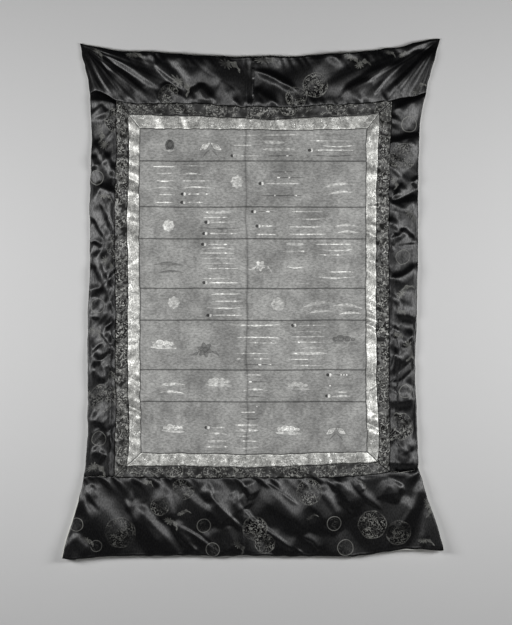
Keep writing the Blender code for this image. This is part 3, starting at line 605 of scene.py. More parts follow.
def make_cloth(name, plan, forward, thickness, material, hems=(), figures=(), marks=None):
    """A sheet of cloth from its plan and how far each point stands forward, with its flat coordinates.
    marks are further values at each point that the material reads, such as the distance to a crease."""
    rows, columns = plan.shape[0] - 1, plan.shape[1] - 1
    points = np.dstack([plan[..., 0], BACK_PLANE - forward, -plan[..., 1]])
    flat = flat_plan(plan, forward)
    bpy.ops.mesh.primitive_grid_add(x_subdivisions=columns, y_subdivisions=rows, size=2,
                                    location=(0, 0, 0), rotation=(math.pi / 2, 0, 0))
    cloth = bpy.context.object
    cloth.name = cloth.data.name = name
    select_only(cloth)
    bpy.ops.object.transform_apply(location=True, rotation=True, scale=True)
    mesh = cloth.data
    place = np.empty(len(mesh.vertices) * 3)
    mesh.vertices.foreach_get("co", place)
    place = place.reshape(-1, 3)
    column = np.rint((place[:, 0] + 1) / 2 * columns).astype(int)
    row = np.rint((1 - place[:, 2]) / 2 * rows).astype(int)
    mesh.vertices.foreach_set("co", (points[row, column] * MM).ravel())

    corner = np.empty(len(mesh.loops), dtype=int)
    mesh.loops.foreach_get("vertex_index", corner)
    mesh.uv_layers[0].name = "Flat"
    mesh.uv_layers[0].uv.foreach_set("vector", (flat[row, column][corner] * MM).ravel())
    values = {"seam_mm": nearest_edge(flat, SIDES), "hem_mm": nearest_edge(flat, hems)}
    values.update(marks or {})
    for title, value in values.items():
        layer = mesh.attributes.new(title, "FLOAT", "POINT")
        layer.data.foreach_set("value", value[row, column])
    if figures:
        local, form, thread = figure_coordinates(flat, plan, figures)
        corner_rows, corner_columns = row[corner].reshape(-1, 4), column[corner].reshape(-1, 4)
        face_row, face_column = corner_rows.min(axis=1), corner_columns.min(axis=1)
        lower, further = corner_rows - face_row[:, None], corner_columns - face_column[:, None]
        which = np.where(lower == 0, further, 3 - further)
        own_map = mesh.uv_layers.new(name="Figure")
        own_map.uv.foreach_set("vector", local[face_row[:, None], face_column[:, None], which].ravel())
        for title, value in (("figure_form", form), ("figure_thread", thread)):
            layer = mesh.attributes.new(title, "FLOAT_VECTOR", "FACE")
            layer.data.foreach_set("vector", value[face_row, face_column].ravel())
    mesh.update()
    mesh.materials.append(material)
    select_only(cloth)
    bpy.ops.object.shade_smooth()
    solid = cloth.modifiers.new("Thickness", "SOLIDIFY")
    solid.thickness = thickness
    solid.offset = -1.0
    bpy.ops.object.modifier_apply(modifier=solid.name)
    return cloth


def turned_edges(flat, depth):
    """How far the edges of a cloth turn back where it is sewn or hemmed."""
    return depth * np.exp(-(nearest_edge(flat, SIDES) / TURN_WIDTH) ** 2)


def own_piece(cloth, node):
    """Hangs a cloth under the root, and hides the solid that it stands in for."""
    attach(cloth, "root")
    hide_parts(node)


# ---------------------------------------------------------------- finishes

def add_node(tree, kind, *inputs, give=0, **settings):
    """Adds one node with its settings and links, and gives back one of its output sockets. kind may end
    in an operation. The inputs are in the node's own order, or one dictionary says where each goes."""
    kind, _, operation = kind.partition(" ")
    node = tree.nodes.new("ShaderNode" + kind)
    if operation:
        node.operation = operation
    for key, value in settings.items():
        setattr(node, key, value)
    placed = inputs and isinstance(inputs[0], dict)
    for key, value in inputs[0].items() if placed else enumerate(inputs):
        if isinstance(value, bpy.types.NodeSocket):
            tree.links.new(value, node.inputs[key])
        else:
            node.inputs[key].default_value = value
    return node.outputs[give]


def new_finish(name, shader_inputs):
    """A material whose plain values are set on its shader, and the function that adds a node to it."""
    material = bpy.data.materials.new(name)
    material.use_nodes = True
    tree = material.node_tree
    for key, value in shader_inputs.items():
        tree.nodes["Principled BSDF"].inputs[key].default_value = value
    return material, partial(add_node, tree)


def finished(material, sockets):
    """Links the last sockets of a finish to its shader, and gives back the material."""
    tree = material.node_tree
    for key, socket in sockets.items():
        tree.links.new(socket, tree.nodes["Principled BSDF"].inputs[key])
    return material


def flat_millimetres(add, scale):
    """The cloth's flat coordinates, in units of the given number of millimetres."""
    return add("VectorMath SCALE", {0: add("UVMap", uv_map="Flat"), "Scale": 1000.0 / scale})


def noise(add, size, detail=1.0, roughness=0.5, stretch=None):
    """Soft noise over the flat cloth, in patches of about the given size in mm."""
    place = flat_millimetres(add, size)
    if stretch:
        place = add("VectorMath MULTIPLY", place, stretch)
    return add("TexNoise", {"Vector": place, "Scale": 1.0, "Detail": detail, "Roughness": roughness},
               noise_dimensions="2D")


def patches(add, size, levels, spread=(0.3, 0.7), **noise_settings):
    """A factor that goes from one level to another over the given spread of the noise."""
    return add("MapRange", noise(add, size, **noise_settings), *spread, *levels)


def scroll_lines(add, curl, rings):
    """Curled strokes like woven scrollwork: rings round scattered centres, bent and broken up by noise.
    curl is the size of a curl in mm, and rings how many lines it has."""
    place = flat_millimetres(add, curl)
    bend = add("TexNoise", {"Vector": place, "Scale": 1.1, "Detail": 1.0}, give=1, noise_dimensions="2D")
    place = add("VectorMath ADD", place, add("VectorMath SCALE", {0: bend, "Scale": 1.1}))
    centres = add("TexVoronoi", {"Vector": place, "Scale": 1.0, "Randomness": 1.0}, voronoi_dimensions="2D")
    saw = add("Math PINGPONG", add("Math MULTIPLY", centres, 2.0 * rings), 1.0)
    breaks = add("TexNoise", {"Vector": place, "Scale": 2.0, "Detail": 0.0}, noise_dimensions="2D")
    return add("Math MULTIPLY", add("MapRange", saw, 0.7, 0.4), add("MapRange", breaks, 0.4, 0.5))


def edge_shade(add, attribute, width, least):
    """A factor that falls to its least value within the given width in mm of a seam or a crease, which the
    finishes use as painted shade there.
    """
    away = add("Math ABSOLUTE", add("Attribute", attribute_name=attribute, give="Fac"))
    return add("MapRange", away, 0.0, width, least, 1.0, interpolation_type="SMOOTHSTEP")


def shaded(add, base, *factors):
    """A colour made darker or paler by some factors."""
    for factor in factors:
        base = add("Mix", {0: 1.0, 6: base, 7: factor}, give=2, data_type="RGBA", blend_type="MULTIPLY")
    return base


# What a finish reads of its figures: where they are drawn and filled, and the form that each was given.
Masks = namedtuple("Masks", "drawn fill tone ring depth size")


def figure_masks(add):
    """Masks of the woven or painted figures. A figure with petals below zero is a spray: a bent chain of
    leaves along its own axis."""
    local = add("UVMap", uv_map="Figure")
    form = add("Attribute", attribute_name="figure_form", give="Vector")
    thread = add("Attribute", attribute_name="figure_thread", give="Vector")
    petals, depth, ring = (add("SeparateXYZ", form, give=axis) for axis in range(3))
    tone, size = (add("SeparateXYZ", thread, give=axis) for axis in range(2))
    x, y = (add("SeparateXYZ", local, give=axis) for axis in range(2))
    spray = add("Math LESS_THAN", petals, 0.0)
    around = add("Mix", {0: spray, 2: add("Math ARCTAN2", y, x), 3: x})
    square = add("Math MULTIPLY", x, x)
    bent = add("Math ABSOLUTE", add("Math ADD", add("Math MULTIPLY_ADD", square, -0.9, y), 0.35))
    taper = add("Math MAXIMUM", add("Math MULTIPLY_ADD", square, -0.85, 1.0), 0.04)
    bent = add("Math DIVIDE", bent, add("Math MULTIPLY", taper, 0.75))
    radius = add("Mix", {0: spray, 2: add("VectorMath LENGTH", local, give="Value"), 3: bent})
    swing = add("Math COSINE", add("Math MULTIPLY", around, petals))
    wave = add("Math MULTIPLY_ADD", swing, -0.5, 0.5)
    edge = add("Math SUBTRACT", 0.96, add("Math MULTIPLY", wave, depth))
    inner_edge = add("Math MULTIPLY", edge, ring)
    # a drawn line is about 2.4 mm wide on a large figure, and finer on a small one
    line = add("Math ADD", add("Math DIVIDE", 0.55, size), 0.02)
    wide, narrow = (add("Math MULTIPLY", line, share) for share in (1.5, 0.5))
    outer, inner = (add("MapRange", add("Math ABSOLUTE", add("Math SUBTRACT", radius, where)), wide, narrow)
                    for where in (edge, inner_edge))
    fill, heart = (add("Math LESS_THAN", radius, where) for where in (edge, inner_edge))
    veins = add("Math MULTIPLY", add("MapRange", swing, -0.75, -0.95), fill)
    veins = add("Math SUBTRACT", veins, heart, use_clamp=True)
    veins = add("Math MULTIPLY", veins, add("Math GREATER_THAN", depth, 0.2))
    drawn = add("Math MAXIMUM", add("Math MAXIMUM", outer, inner), veins)
    return Masks(drawn, fill, tone, ring, depth, size)


def dark_satin(colours):
    """Silk satin damask, piece-woven: its warp floats run down the cloth, so the dark ground shines in
    a wide band across and goes black where a fold tips up or down, and its figures are paler and dull."""
    material, add = new_finish("dark_silk_satin_damask", {"Anisotropic": 0.75})
    masks = figure_masks(add)
    # the small roundels, whose inner ring is near their edge, hold less scrollwork
    full = add("MapRange", masks.ring, 0.8, 0.6, 0.2)
    leafy = add("Math GREATER_THAN", masks.depth, 0.3)
    # strokes of about 3 mm inside each figure stand for its floral scrollwork
    strokes = scroll_lines(add, 9.5, 1.55)
    fade = patches(add, 38.0, (0.22, 1.0), spread=(0.36, 0.58))
    inside = add("Mix", {0: leafy, 2: strokes, 3: add("Math MULTIPLY_ADD", strokes, 0.4, 0.6)})
    inside = add("Math MULTIPLY", inside, add("Math MULTIPLY", masks.fill, full))
    inside = add("Math MULTIPLY", inside, fade)
    # the rings of the small roundels are whole and crisp, and the others are broken up and faded
    whole = add("Math SUBTRACT", 1.1, full)
    broken = add("Math MAXIMUM", add("Math MULTIPLY_ADD", strokes, 0.6, 0.4), whole)
    crisp = add("Mix", {0: full, 2: add("Math MULTIPLY_ADD", fade, 0.5, 0.75), 3: fade})
    drawn = add("Math MULTIPLY", add("Math MULTIPLY", masks.drawn, broken), crisp)
    figure = add("Math MULTIPLY", add("Math MAXIMUM", inside, drawn), masks.tone)
    figure = add("Math MINIMUM", figure, 1.25)
    base = add("Mix", {0: figure, 6: tuple(colours.satin), 7: tuple(colours.satin_thread)}, give=2,
               data_type="RGBA")
    gaps = add("Math MULTIPLY", add("Math SUBTRACT", masks.fill, figure, use_clamp=True), full)
    gaps = add("Math MULTIPLY", gaps, add("Math MULTIPLY", masks.tone, fade), use_clamp=True)
    # slubs of the weave, drawn about 3 mm wide so that they show
    slub = patches(add, 3.0, (0.72, 1.28), stretch=(1.0, 0.4, 1.0))
    shine = add("Math MULTIPLY", add("MapRange", gaps, 0.0, 1.0, 0.54, 0.14), slub)
    # threads of about 0.4 mm are drawn at 1.6 mm so that they show
    weave = add("TexWave", {"Vector": flat_millimetres(add, 1.6), "Scale": 0.3, "Distortion": 1.5,
                            "Detail": 1.0, "Detail Scale": 2.0}, give=1)
    height = add("Math MULTIPLY_ADD", weave, 0.2, figure)
    # the colour darkens within 1.4 mm of every seam and hem: painted shade of the turned edges, with some
    # dirt; the shine is lowered within 3 mm of them
    return finished(material, {
        "Base Color": shaded(add, base, edge_shade(add, "seam_mm", 1.4, 0.3)),
        "Specular IOR Level": add("Math MULTIPLY", shine, edge_shade(add, "seam_mm", 3.0, 0.2)),
        "Roughness": add("MapRange", figure, 0.0, 1.0, 0.43, 0.58),
        "Tangent": add("Tangent", direction_type="UV_MAP", uv_map="Flat"),
        "Normal": add("Bump", {"Strength": 0.3, "Distance": 0.0004, "Height": height}),
    })


def brocade(name, ground, thread, shader_inputs, gaps, wear_levels):
    """Figured silk brocade cut into strips: a plain ground with cut roundels and scrolling figures, whose
    gaps are darker than the ground. gaps is how dark they are, and wear_levels how uneven the cloth is."""
    material, add = new_finish(name, shader_inputs)
    masks = figure_masks(add)
    # scroll strokes of about 3 mm inside the figures, and a few loose ones between them
    cloud = noise(add, 20.0)
    strokes = scroll_lines(add, 12.0, 1.6)
    loose = add("MapRange", cloud, 0.55, 0.62, 0.0, 0.8)
    figure = add("Math MULTIPLY", strokes, add("Math MAXIMUM", loose, masks.fill))
    drawn = add("Math MULTIPLY", masks.drawn, add("Math MULTIPLY_ADD", strokes, 0.6, 0.4))
    figure = add("Math MAXIMUM", figure, drawn)
    figure = add("Math MULTIPLY", figure, add("MapRange", cloud, 0.3, 0.6, 0.45))
    base = add("Mix", {0: figure, 6: tuple(ground), 7: tuple(thread)}, give=2, data_type="RGBA")
    # the gaps inside a figure are dark, and so are some bare patches between the figures
    gap = add("Math MULTIPLY", add("Math SUBTRACT", masks.fill, figure, use_clamp=True), masks.tone)
    gap = add("Math MULTIPLY", gap, add("MapRange", cloud, 0.34, 0.5, 0.6), use_clamp=True)
    bare = add("Math SUBTRACT", add("MapRange", cloud, 0.5, 0.4), masks.fill, use_clamp=True)
    gap = add("MapRange", add("Math MAXIMUM", gap, bare), 0.0, 1.0, 1.0, gaps)
    wear = patches(add, 9.0, wear_levels, detail=4.0, roughness=0.75)
    # single threads of about 0.5 mm are drawn at 3 mm so that they show
    speckle = patches(add, 3.0, (0.7, 1.3))
    # near black within 2.8 mm of a seam or mitre, in colour and shine: painted shade of the seam, with some
    # dirt
    seam = edge_shade(add, "seam_mm", 2.8, 0.05)
    return finished(material, {
        "Base Color": shaded(add, base, gap, wear, speckle, seam),
        "Specular IOR Level": add("Math MULTIPLY", add("Math MULTIPLY", gap, seam), 0.5),
        "Tangent": add("Tangent", direction_type="UV_MAP", uv_map="Flat"),
        "Normal": add("Bump", {"Strength": 0.5, "Distance": 0.0005, "Height": figure}),
    })


def painted_cotton(colours):
    """Cotton primed with chalk and glue, polished and painted: matt, a little mottled and worn, with
    painted shade at its seams and along its crease.
    """
    material, add = new_finish("painted_primed_cotton", {"Roughness": 0.85})
    masks = figure_masks(add)
    worn = patches(add, 11.0, (0.4, 1.25), spread=(0.35, 0.6), detail=3.0)
    pale = add("Math MULTIPLY", add("Math MULTIPLY", masks.tone, masks.fill, use_clamp=True), worn)
    dark = add("Math MULTIPLY", add("Math MULTIPLY", masks.tone, -1.0, use_clamp=True), masks.fill)
    # a thin stroke of the brush has no outline of its own
    broad = add("MapRange", masks.size, 4.0, 6.0)
    marked = add("Math MULTIPLY", add("Math ABSOLUTE", masks.tone), broad)
    outline = add("Math MULTIPLY", masks.drawn, marked)
    outline = add("Math MULTIPLY_ADD", outline, 0.55, dark, use_clamp=True)
    down = add("Attribute", attribute_name="down_mm", give="Fac")
    for rule in RULES:
        off = add("Math ABSOLUTE", add("Math SUBTRACT", down, rule))
        outline = add("Math MAXIMUM", outline, add("MapRange", off, 2.4, 1.1, 0.0, 0.8))
    base = add("Mix", {0: pale, 6: tuple(colours.ground), 7: tuple(colours.pale_paint)}, give=2,
               data_type="RGBA")
    base = add("Mix", {0: outline, 6: base, 7: tuple(colours.dark_paint)}, give=2, data_type="RGBA")
    mottle = patches(add, 45.0, (0.8, 1.28), detail=6.0, roughness=0.65)
    grain = patches(add, 4.5, (0.72, 1.42), detail=3.0, roughness=0.7, stretch=(0.5, 1.0, 1.0))
    soil = patches(add, 110.0, (0.72, 1.0), spread=(0.36, 0.55), detail=5.0, roughness=0.6)
    # the plain weave under the priming, about 0.7 mm a thread, is drawn at 2 mm so that it shows
    threads = noise(add, 2.0, detail=2.0)
    # darker within 3 mm of the seams, as painted shade of the seam with some dirt, and in a soft band along
    # the crease, as painted shade of the crease with some staining
    seam = edge_shade(add, "seam_mm", 3.0, 0.2)
    crease_shade = edge_shade(add, "crease_mm", 9.0, 0.72), edge_shade(add, "crease_mm", 2.6, 0.7)
    return finished(material, {
        "Base Color": shaded(add, base, mottle, grain, soil, seam, *crease_shade),
        "Normal": add("Bump", {"Strength": 0.2, "Distance": 0.0004, "Height": threads}),
    })


def plain_cotton(colours):
    """Plain-woven cotton lining, unbleached: matt, with a faint grain and soft stains."""
    material, add = new_finish("plain_cotton_lining", {"Roughness": 0.95})
    stain = patches(add, 160.0, (0.84, 1.05), spread=(0.35, 0.7), detail=5.0)
    # threads of about 0.5 mm are drawn at 2.5 mm so that they show
    grain = add("TexMagic", {"Vector": flat_millimetres(add, 2.5), "Scale": 1.0, "Distortion": 0.4}, give=1,
                turbulence_depth=1)
    grain = add("MapRange", grain, 0.0, 1.0, 0.94, 1.03)
    return finished(material, {"Base Color": shaded(add, tuple(colours.lining), stain, grain)})


def studio_paint(name, colours):
    """Matt emulsion paint on a flat wall or floor: one even pale tone without a shine."""
    return new_finish(name, {"Base Color": tuple(colours.studio), "Roughness": 0.9})


# ---------------------------------------------------------------- figures

def satin_figures():
    """The roundels and sprigs of the satin, with a form of their own by turns."""
    figures = []
    for count, (across, down, size, tone) in enumerate(LARGE_ROUNDELS):
        figures.append((across, down, size, 1.0, 0.4 * count, 5 + count % 4, 0.03, 0.45, tone))
        figures.append((across, down, 0.42 * size, 1.0, 0.7 * count, 5 + count % 3, 0.28, 0.3, tone))
    for count, (across, down, size, tone) in enumerate(SMALL_ROUNDELS):
        figures.append((across, down, size, 1.0, 0.0, 12, 0.0, 1.0, tone))
        figures.append((across, down, 0.5 * size, 1.0, 0.3 * count, 5 + count % 3, 0.3, 0.4, 0.7 * tone))
    for count, (across, down, size, slim, turn) in enumerate(SPRIGS):
        run, drop = math.cos(turn), math.sin(turn)
        figures.append((across - 0.3 * size * run, down - 0.3 * size * drop, 0.7 * size, 1.1 * slim,
                        turn, 9 + count % 4, 0.62, 0.3, 0.9))
        figures.append((across + 0.35 * size * run, down + 0.35 * size * drop, 0.75 * size, 1.4 * slim,
                        turn + 0.5, -7, 0.65, 0.4, 0.8))
    return [Figure(*row) for row in figures]


def strip_figures(seed):
    """Roundels and leaf sprays along the strips, cut through wherever the strips were cut: close together
    at the sides, and further apart at the top and foot."""
    draw = np.random.default_rng(seed)
    top, foot, side = 142, 1120, 354    # where the strips run, in mm down and across
    figures = []

    def put(across, down, size, beside):
        figures.append(Figure(across + draw.uniform(-12, 12), down + draw.uniform(-9, 9), size, 1.0,
                              draw.uniform(0, 6), draw.integers(5, 9), 0.04, draw.uniform(0.35, 0.6),
                              draw.choice([0.6, 0.9, 1.0])))
        figures.append(Figure(across + beside[0], down + beside[1], draw.uniform(16, 24),
                              draw.uniform(1.2, 2.2), draw.uniform(0, 6), draw.choice([-8, 6, 9]), 0.5, 0.4,
                              0.9))

    for across in (-side, side):
        down = top + 8
        while down < foot - 10:
            size = draw.uniform(24, 37)
            put(across, down, size, (draw.uniform(-8, 8), size + draw.uniform(12, 18)))
            down += 2 * size + draw.uniform(4, 30)
    for down in (top, foot):
        across = 44 - side
        while across < side - 44:
            size = draw.uniform(22, 34)
            put(across, down, size, (size + draw.uniform(14, 24), draw.uniform(-6, 6)))
            across += 2 * size + draw.uniform(30, 80)
    return figures


# ---------------------------------------------------------------- operators

def strip_edges(outer, inner, side):
    """Edges of a mitred strip: its top, foot, left and right lines."""
    outside, inside = LINES[outer + "_" + side], LINES[inner + "_" + side]
    start, stop = [outside[0], inside[0]], [outside[-1], inside[-1]]
    return {
        "top": (outside, inside, start, stop),
        "foot": (inside, outside, start[::-1], stop[::-1]),
        "left": (start, stop, outside, inside),
        "right": (start[::-1], stop[::-1], inside, outside),
    }[side]


def make_strips(band, inner, at_ends, at_sides, settings, seed):
    """Four strips with mitred ends, with small folds across them where the cloth is drawn in. at_ends is
    the material of the top and foot strips, and at_sides that of the other two."""
    figures = strip_figures(seed)
    for side in SIDES:
        level = side in ENDS
        names = ["_".join(["strip", band, side, place]) for place in SIDES]
        LINES.update(zip(names, strip_edges(band, inner, side)))
        plan = cut_plan([[name] for name in names], settings.strip_cell / MM)
        x, d = plan[..., 0], plan[..., 1]
        hang = hang_forward(x, d)
        relief = relief_of(side, x, d)
        flat = flat_plan(plan, hang + relief)
        for end in ("left", "right") if level else ENDS:
            near = 0.5 - 0.5 * smooth_step(edge_distances(flat)[end] / MITRE_BLEND)
            relief = (1 - near) * relief + near * relief_of(end, x, d)
        forward = hang + relief - turned_edges(flat, settings.seam_drop / MM)
        name = band + "_strip_" + ("bottom" if side == "foot" else side)
        cloth = make_cloth(name + "_brocade", plan, forward, settings.thickness,
                           at_ends if level else at_sides, figures=figures)
        own_piece(cloth, name)


class HANGING_OT_painting(bpy.types.Operator):
    """Make the painted cotton in the middle"""
    bl_idname = "hanging.painting"
    bl_label = "Painting"

    def execute(self, context):
        settings, colours = context.scene.hanging_sizes, context.scene.hanging_colours
        plan = cut_plan([["painting_" + side] for side in SIDES], settings.painting_cell / MM)
        x, d = plan[..., 0], plan[..., 1]
        relief = 1.2 * bumps(x / 60, d / 80, 5) + 0.6 * bumps(x / 22 + d / 90, d / 40, 6)
        # a crease all the way down, a little left of the middle, and a short soft one right of it
        wander = 3.5 * ripple(d / 90, x * 0, 7) + 1.6 * ripple(d / 22, x * 0, 8)
        narrow = 1.6 - 0.6 * bumps(d / 60, x * 0, 9) - 0.5 * smooth_step((700 - d) / 400)
        crease = (x + 17 - wander) * narrow
        second = x - 108 - 2.0 * ripple(d / 40, x * 0, 10)
        relief = relief + 1.4 * np.exp(-np.abs(crease / 9))
        relief = relief + 0.8 * np.exp(-np.abs(second / 6)) * smooth_step((480 - d) / 150)
        for side in SIDES:
            share = smooth_step(-outward("painting", side, x, d) / 18)
            relief = share * relief + (1 - share) * strip_relief(side, x, d)
        hang = hang_forward(x, d)
        flat = flat_plan(plan, hang + relief)
        forward = hang + relief - turned_edges(flat, settings.seam_drop / MM)
        cloth = make_cloth("painted_cotton", plan, forward, settings.thickness, painted_cotton(colours),
                           figures=painted_figures(),
                           marks={"crease_mm": crease, "down_mm": d + 0.8 * ripple(x / 70, d / 200, 4)})
        own_piece(cloth, "painting")
        return {"FINISHED"}


class HANGING_OT_light_strips(bpy.types.Operator):
    """Make the four strips of light brocade around the painting"""
    bl_idname = "hanging.light_strips"
    bl_label = "Light strips"

    def execute(self, context):
        settings, colours = context.scene.hanging_sizes, context.scene.hanging_colours
        material = brocade("light_gilt_silk_brocade", colours.light, colours.light_thread,
                           {"Roughness": 0.42, "Metallic": 0.55, "Anisotropic": 0.4}, 0.84, (0.55, 1.45))
        make_strips("light", "painting", material, material, settings, 20)
        return {"FINISHED"}


class HANGING_OT_middle_strips(bpy.types.Operator):
    """Make the four strips of middle-toned brocade"""
    bl_idname = "hanging.middle_strips"
    bl_label = "Middle strips"

    def execute(self, context):
        settings, colours = context.scene.hanging_sizes, context.scene.hanging_colours
        sheen = {"Roughness": 0.45, "Anisotropic": 0.5}
        # the top and foot strips get the darker colours: painted shade, for the weaker sheen of the same
        # brocade there
        plainer = brocade("middle_silk_brocade_ends", colours.middle_ends, colours.middle_ends_thread,
                          sheen, 0.6, (0.65, 1.35))
        fuller = brocade("middle_silk_brocade_sides", colours.middle, colours.middle_thread,
                         sheen, 0.2, (0.62, 1.35))
        make_strips("middle", "light", plainer, fuller, settings, 40)
        return {"FINISHED"}


# The plan and relief of each dark panel, kept for the lining behind them.
PANEL_RELIEFS = []


class HANGING_OT_satin_panels(bpy.types.Operator):
    """Make the four panels of dark satin with their folds"""
    bl_idname = "hanging.satin_panels"
    bl_label = "Satin panels"

    def execute(self, context):
        settings, colours = context.scene.hanging_sizes, context.scene.hanging_colours
        material = dark_satin(colours)
        figures = satin_figures()
        hem_rise = settings.hem_rise / MM
        for panel in PANELS:
            plan = cut_plan([panel.top, panel.foot, panel.left, panel.right], settings.satin_cell / MM)
            x, d = plan[..., 0], plan[..., 1]
            hang = hang_forward(x, d)
            relief = relief_of(panel.side, x, d)
            # the folds sink towards the edges, and most where a side panel meets the top or foot panel
            for side, away in edge_distances(flat_plan(plan, hang)).items():
                share = 0.3 if side in panel.ends else 0.85
                relief = relief * (share + (1 - share) * smooth_step(away / 12))
            PANEL_RELIEFS.append((x, d, relief))
            flat = flat_plan(plan, hang + relief)
            hem = smooth_step((settings.hem_width / MM - nearest_edge(flat, panel.hems)) / 1.5)
            forward = hang + relief + hem * hem_rise
            forward = forward - turned_edges(flat, settings.seam_drop / MM + hem_rise * hem)
            cloth = make_cloth(panel.name + "_satin", plan, forward, settings.thickness, material,
                               hems=panel.hems, figures=figures)
            own_piece(cloth, panel.name)
        return {"FINISHED"}


def lining_relief(across, down):
    """How far the lining may follow the folds in front of it: half of the lowest relief within about
    two cells of each place."""
    left, top, wide, high, cell = -600, -80, 1200, 1500, 6.0    # the grid that holds that relief, in mm
    lowest = np.full((int(high / cell), int(wide / cell)), np.inf)
    for x, d, relief in PANEL_RELIEFS:
        np.minimum.at(lowest, (((d - top) / cell).astype(int), ((x - left) / cell).astype(int)), relief)
    lowest[np.isinf(lowest)] = 0.0
    steps = [(rows, columns) for rows in range(-2, 3) for columns in range(-2, 3)]
    spread = np.minimum.reduce([np.roll(lowest, step, axis=(0, 1)) for step in steps])
    spread = np.where(spread > 0, 0.5 * spread, spread)
    return spread[((down - top) / cell).astype(int), ((across - left) / cell).astype(int)]


class HANGING_OT_lining(bpy.types.Operator):
    """Make the plain cotton lining at the back"""
    bl_idname = "hanging.lining"
    bl_label = "Lining"

    def execute(self, context):
        settings, colours = context.scene.hanging_sizes, context.scene.hanging_colours
        sides = [["hem_" + side + part for part in ("_top", "", "_foot")] for side in ("left", "right")]
        plan = cut_plan([["hem_top"], ["hem_foot"]] + sides, settings.lining_cell / MM)
        # cut a little smaller than the front, and let out past it where its edge shows
        middle = plan.mean(axis=(0, 1))
        plan = middle + (plan - middle) * (1 - LINING_SHORT / HALF_WIDTH)
        past = settings.lining_shows / MM + 1.3 * LINING_SHORT
        plan[:, 0, 0] -= past * smooth_step((plan[:, 0, 1] - LINING_SHOWS_BELOW) / 60)
        plan[-1, :, 1] += past * smooth_step((plan[-1, :, 0] - LINING_SHOWS_PAST) / 60)
        x, d = plan[..., 0], plan[..., 1]
        forward = hang_forward(x, d) - settings.lining_behind / MM
        forward = forward + lining_relief(x, d)
        cloth = make_cloth("plain_lining", plan, forward, settings.thickness, plain_cotton(colours),
                           hems=SIDES)
        own_piece(cloth, "lining")
        return {"FINISHED"}


def painted_figures():
    """Beaded lines, leaf sprays, flowers, clouds, wheels, jewels and ribbons between the ruled lines."""
    draw = np.random.default_rng(77)
    figures = []

    def put(across, down, size, slim=1.0, turn=0.0, petals=0, depth=0.0, ring=0.5, tone=0.8):
        figures.append(Figure(across, down, size, slim, turn, petals, depth, ring, tone))

    def beads(across, down, size, tone):
        for place in draw.uniform(-0.8, 0.8, draw.integers(1, 4)):
            long = draw.uniform(3.0, 6.5)
            put(across + place * size, down, long, long / draw.uniform(1.5, 2.1), tone=tone)

    def line(across, down, size, tone):
        beads(across, down, size, 1.1)
        put(across, down, size, size / draw.uniform(1.3, 1.8), draw.uniform(-0.015, 0.015), ring=0.3,
            tone=tone)

    def spray(across, down, size, tone):
        put(across, down, size, size / draw.uniform(2.4, 4.2), draw.choice([0.0, math.pi]),
            -draw.uniform(0.1, 0.2) * size, 0.6, 0.4, tone)

    def tipped(across, down, size, tone):
        put(across - size + 2, down, 4.8, 1.1, tone=-1.3)
        put(across - size + 8, down, 3.8, 0.8, tone=1.1)
        line(across + 6, down, size - 8, tone)

    def bar(across, down, size, tone):
        put(across, down, size, size / draw.uniform(3, 5), 0.0, ring=0.75, tone=0.4 * tone)
        beads(across, down, size, 0.9)

    def flower(across, down, size, tone):
        put(across, down, size, 1.0, draw.uniform(0, 2), draw.integers(5, 9), 0.35, 0.35, tone)
        put(across, down, 0.25 * size, tone=-0.9)
        for step, turn in ((1.2, 0.5), (-1.2, math.pi - 0.5)):
            put(across + step * size, down + 0.4 * size, 0.8 * size, 2.6, turn, -7, 0.6, 0.4, 0.8 * tone)

    def cloud(across, down, size, tone):
        for step, scale in ((-1.0, 0.4), (-0.4, 0.6), (0.35, 0.5), (1.0, 0.3)):
            up = 0.25 * size * scale
            put(across + step * size, down - up, scale * size, 1.3, 0.0, 3, 0.1, 0.55, tone)
        put(across, down + 0.35 * size, 1.6 * size, 9, 0.05, tone=0.7 * tone)

    def wheel(across, down, size, tone):
        put(across, down, 0.9 * size, 1.0, 0.0, 8, 0.12, 0.5, 0.8 * tone)
        put(across, down, 0.3 * size, ring=0.4, tone=-tone)

    def jewel(across, down, size, tone):
        put(across, down, size, 1.3, 0.5 * math.pi, 1, 0.25, 0.6, -0.8)
        put(across, down + 0.9 * size, 0.9 * size, 3.4, math.pi, -6, 0.6, 0.4, tone)

    def ribbon(across, down, size, tone):
        put(across, down, 1.9 * size, 6.5, draw.uniform(-0.15, 0.15), -3, 0.35, 0.4, 0.7 * tone)
        put(across + 4, down + 0.9 * size, 1.5 * size, 7.0, draw.uniform(-0.15, 0.15), -3, 0.35, 0.4, tone)

    def knot(across, down, size, tone):
        for step in (-1, 1):
            put(across + 0.7 * step * size, down, 0.8 * size, 2.2, 0.6 * step, 4, 0.2, 0.6, tone)
            put(across - 0.5 * step * size, down + 0.8 * size, 0.8 * size, 6.0, -0.8 * step, -4, 0.4, 0.4,
                -0.7 * tone)

    motifs = (flower, cloud, wheel, ribbon, cloud, knot, ribbon, jewel)
    strokes = (line, line, line, spray, spray, tipped, bar)
    for top, foot in zip([FIELD_TOP] + RULES, RULES + [FIELD_FOOT]):
        start = -FIELD_SIDE + draw.uniform(4, 24)
        while start < FIELD_SIDE - 58:
            wide = min(draw.uniform(64, 140), FIELD_SIDE - start)
            if draw.uniform() < 0.4:
                size = draw.uniform(15, 24)
                motif = motifs[draw.integers(8)]
                motif(start + 0.5 * wide, (top + foot) / 2 + draw.uniform(-14, 14), size,
                      draw.choice([0.4, 0.5, 0.6, 0.7, -0.5]))
            else:
                rows = round((foot - top - 16) / draw.uniform(13, 20))
                for row in range(rows):
                    down = top + 14 + (foot - top - 28) * row / (rows - 1) + draw.uniform(-2, 2)
                    size = 0.5 * wide * draw.uniform(0.55, 0.98)
                    across = start + size + draw.uniform(0, wide - 2 * size)
                    stroke = strokes[draw.integers(7)]
                    if draw.uniform() < 0.86:
                        stroke(across, down, size, draw.choice([0.3, 0.45, 0.6, 0.75, 0.9, -0.6]))
            start += wide + draw.uniform(4, 26)
    return figures


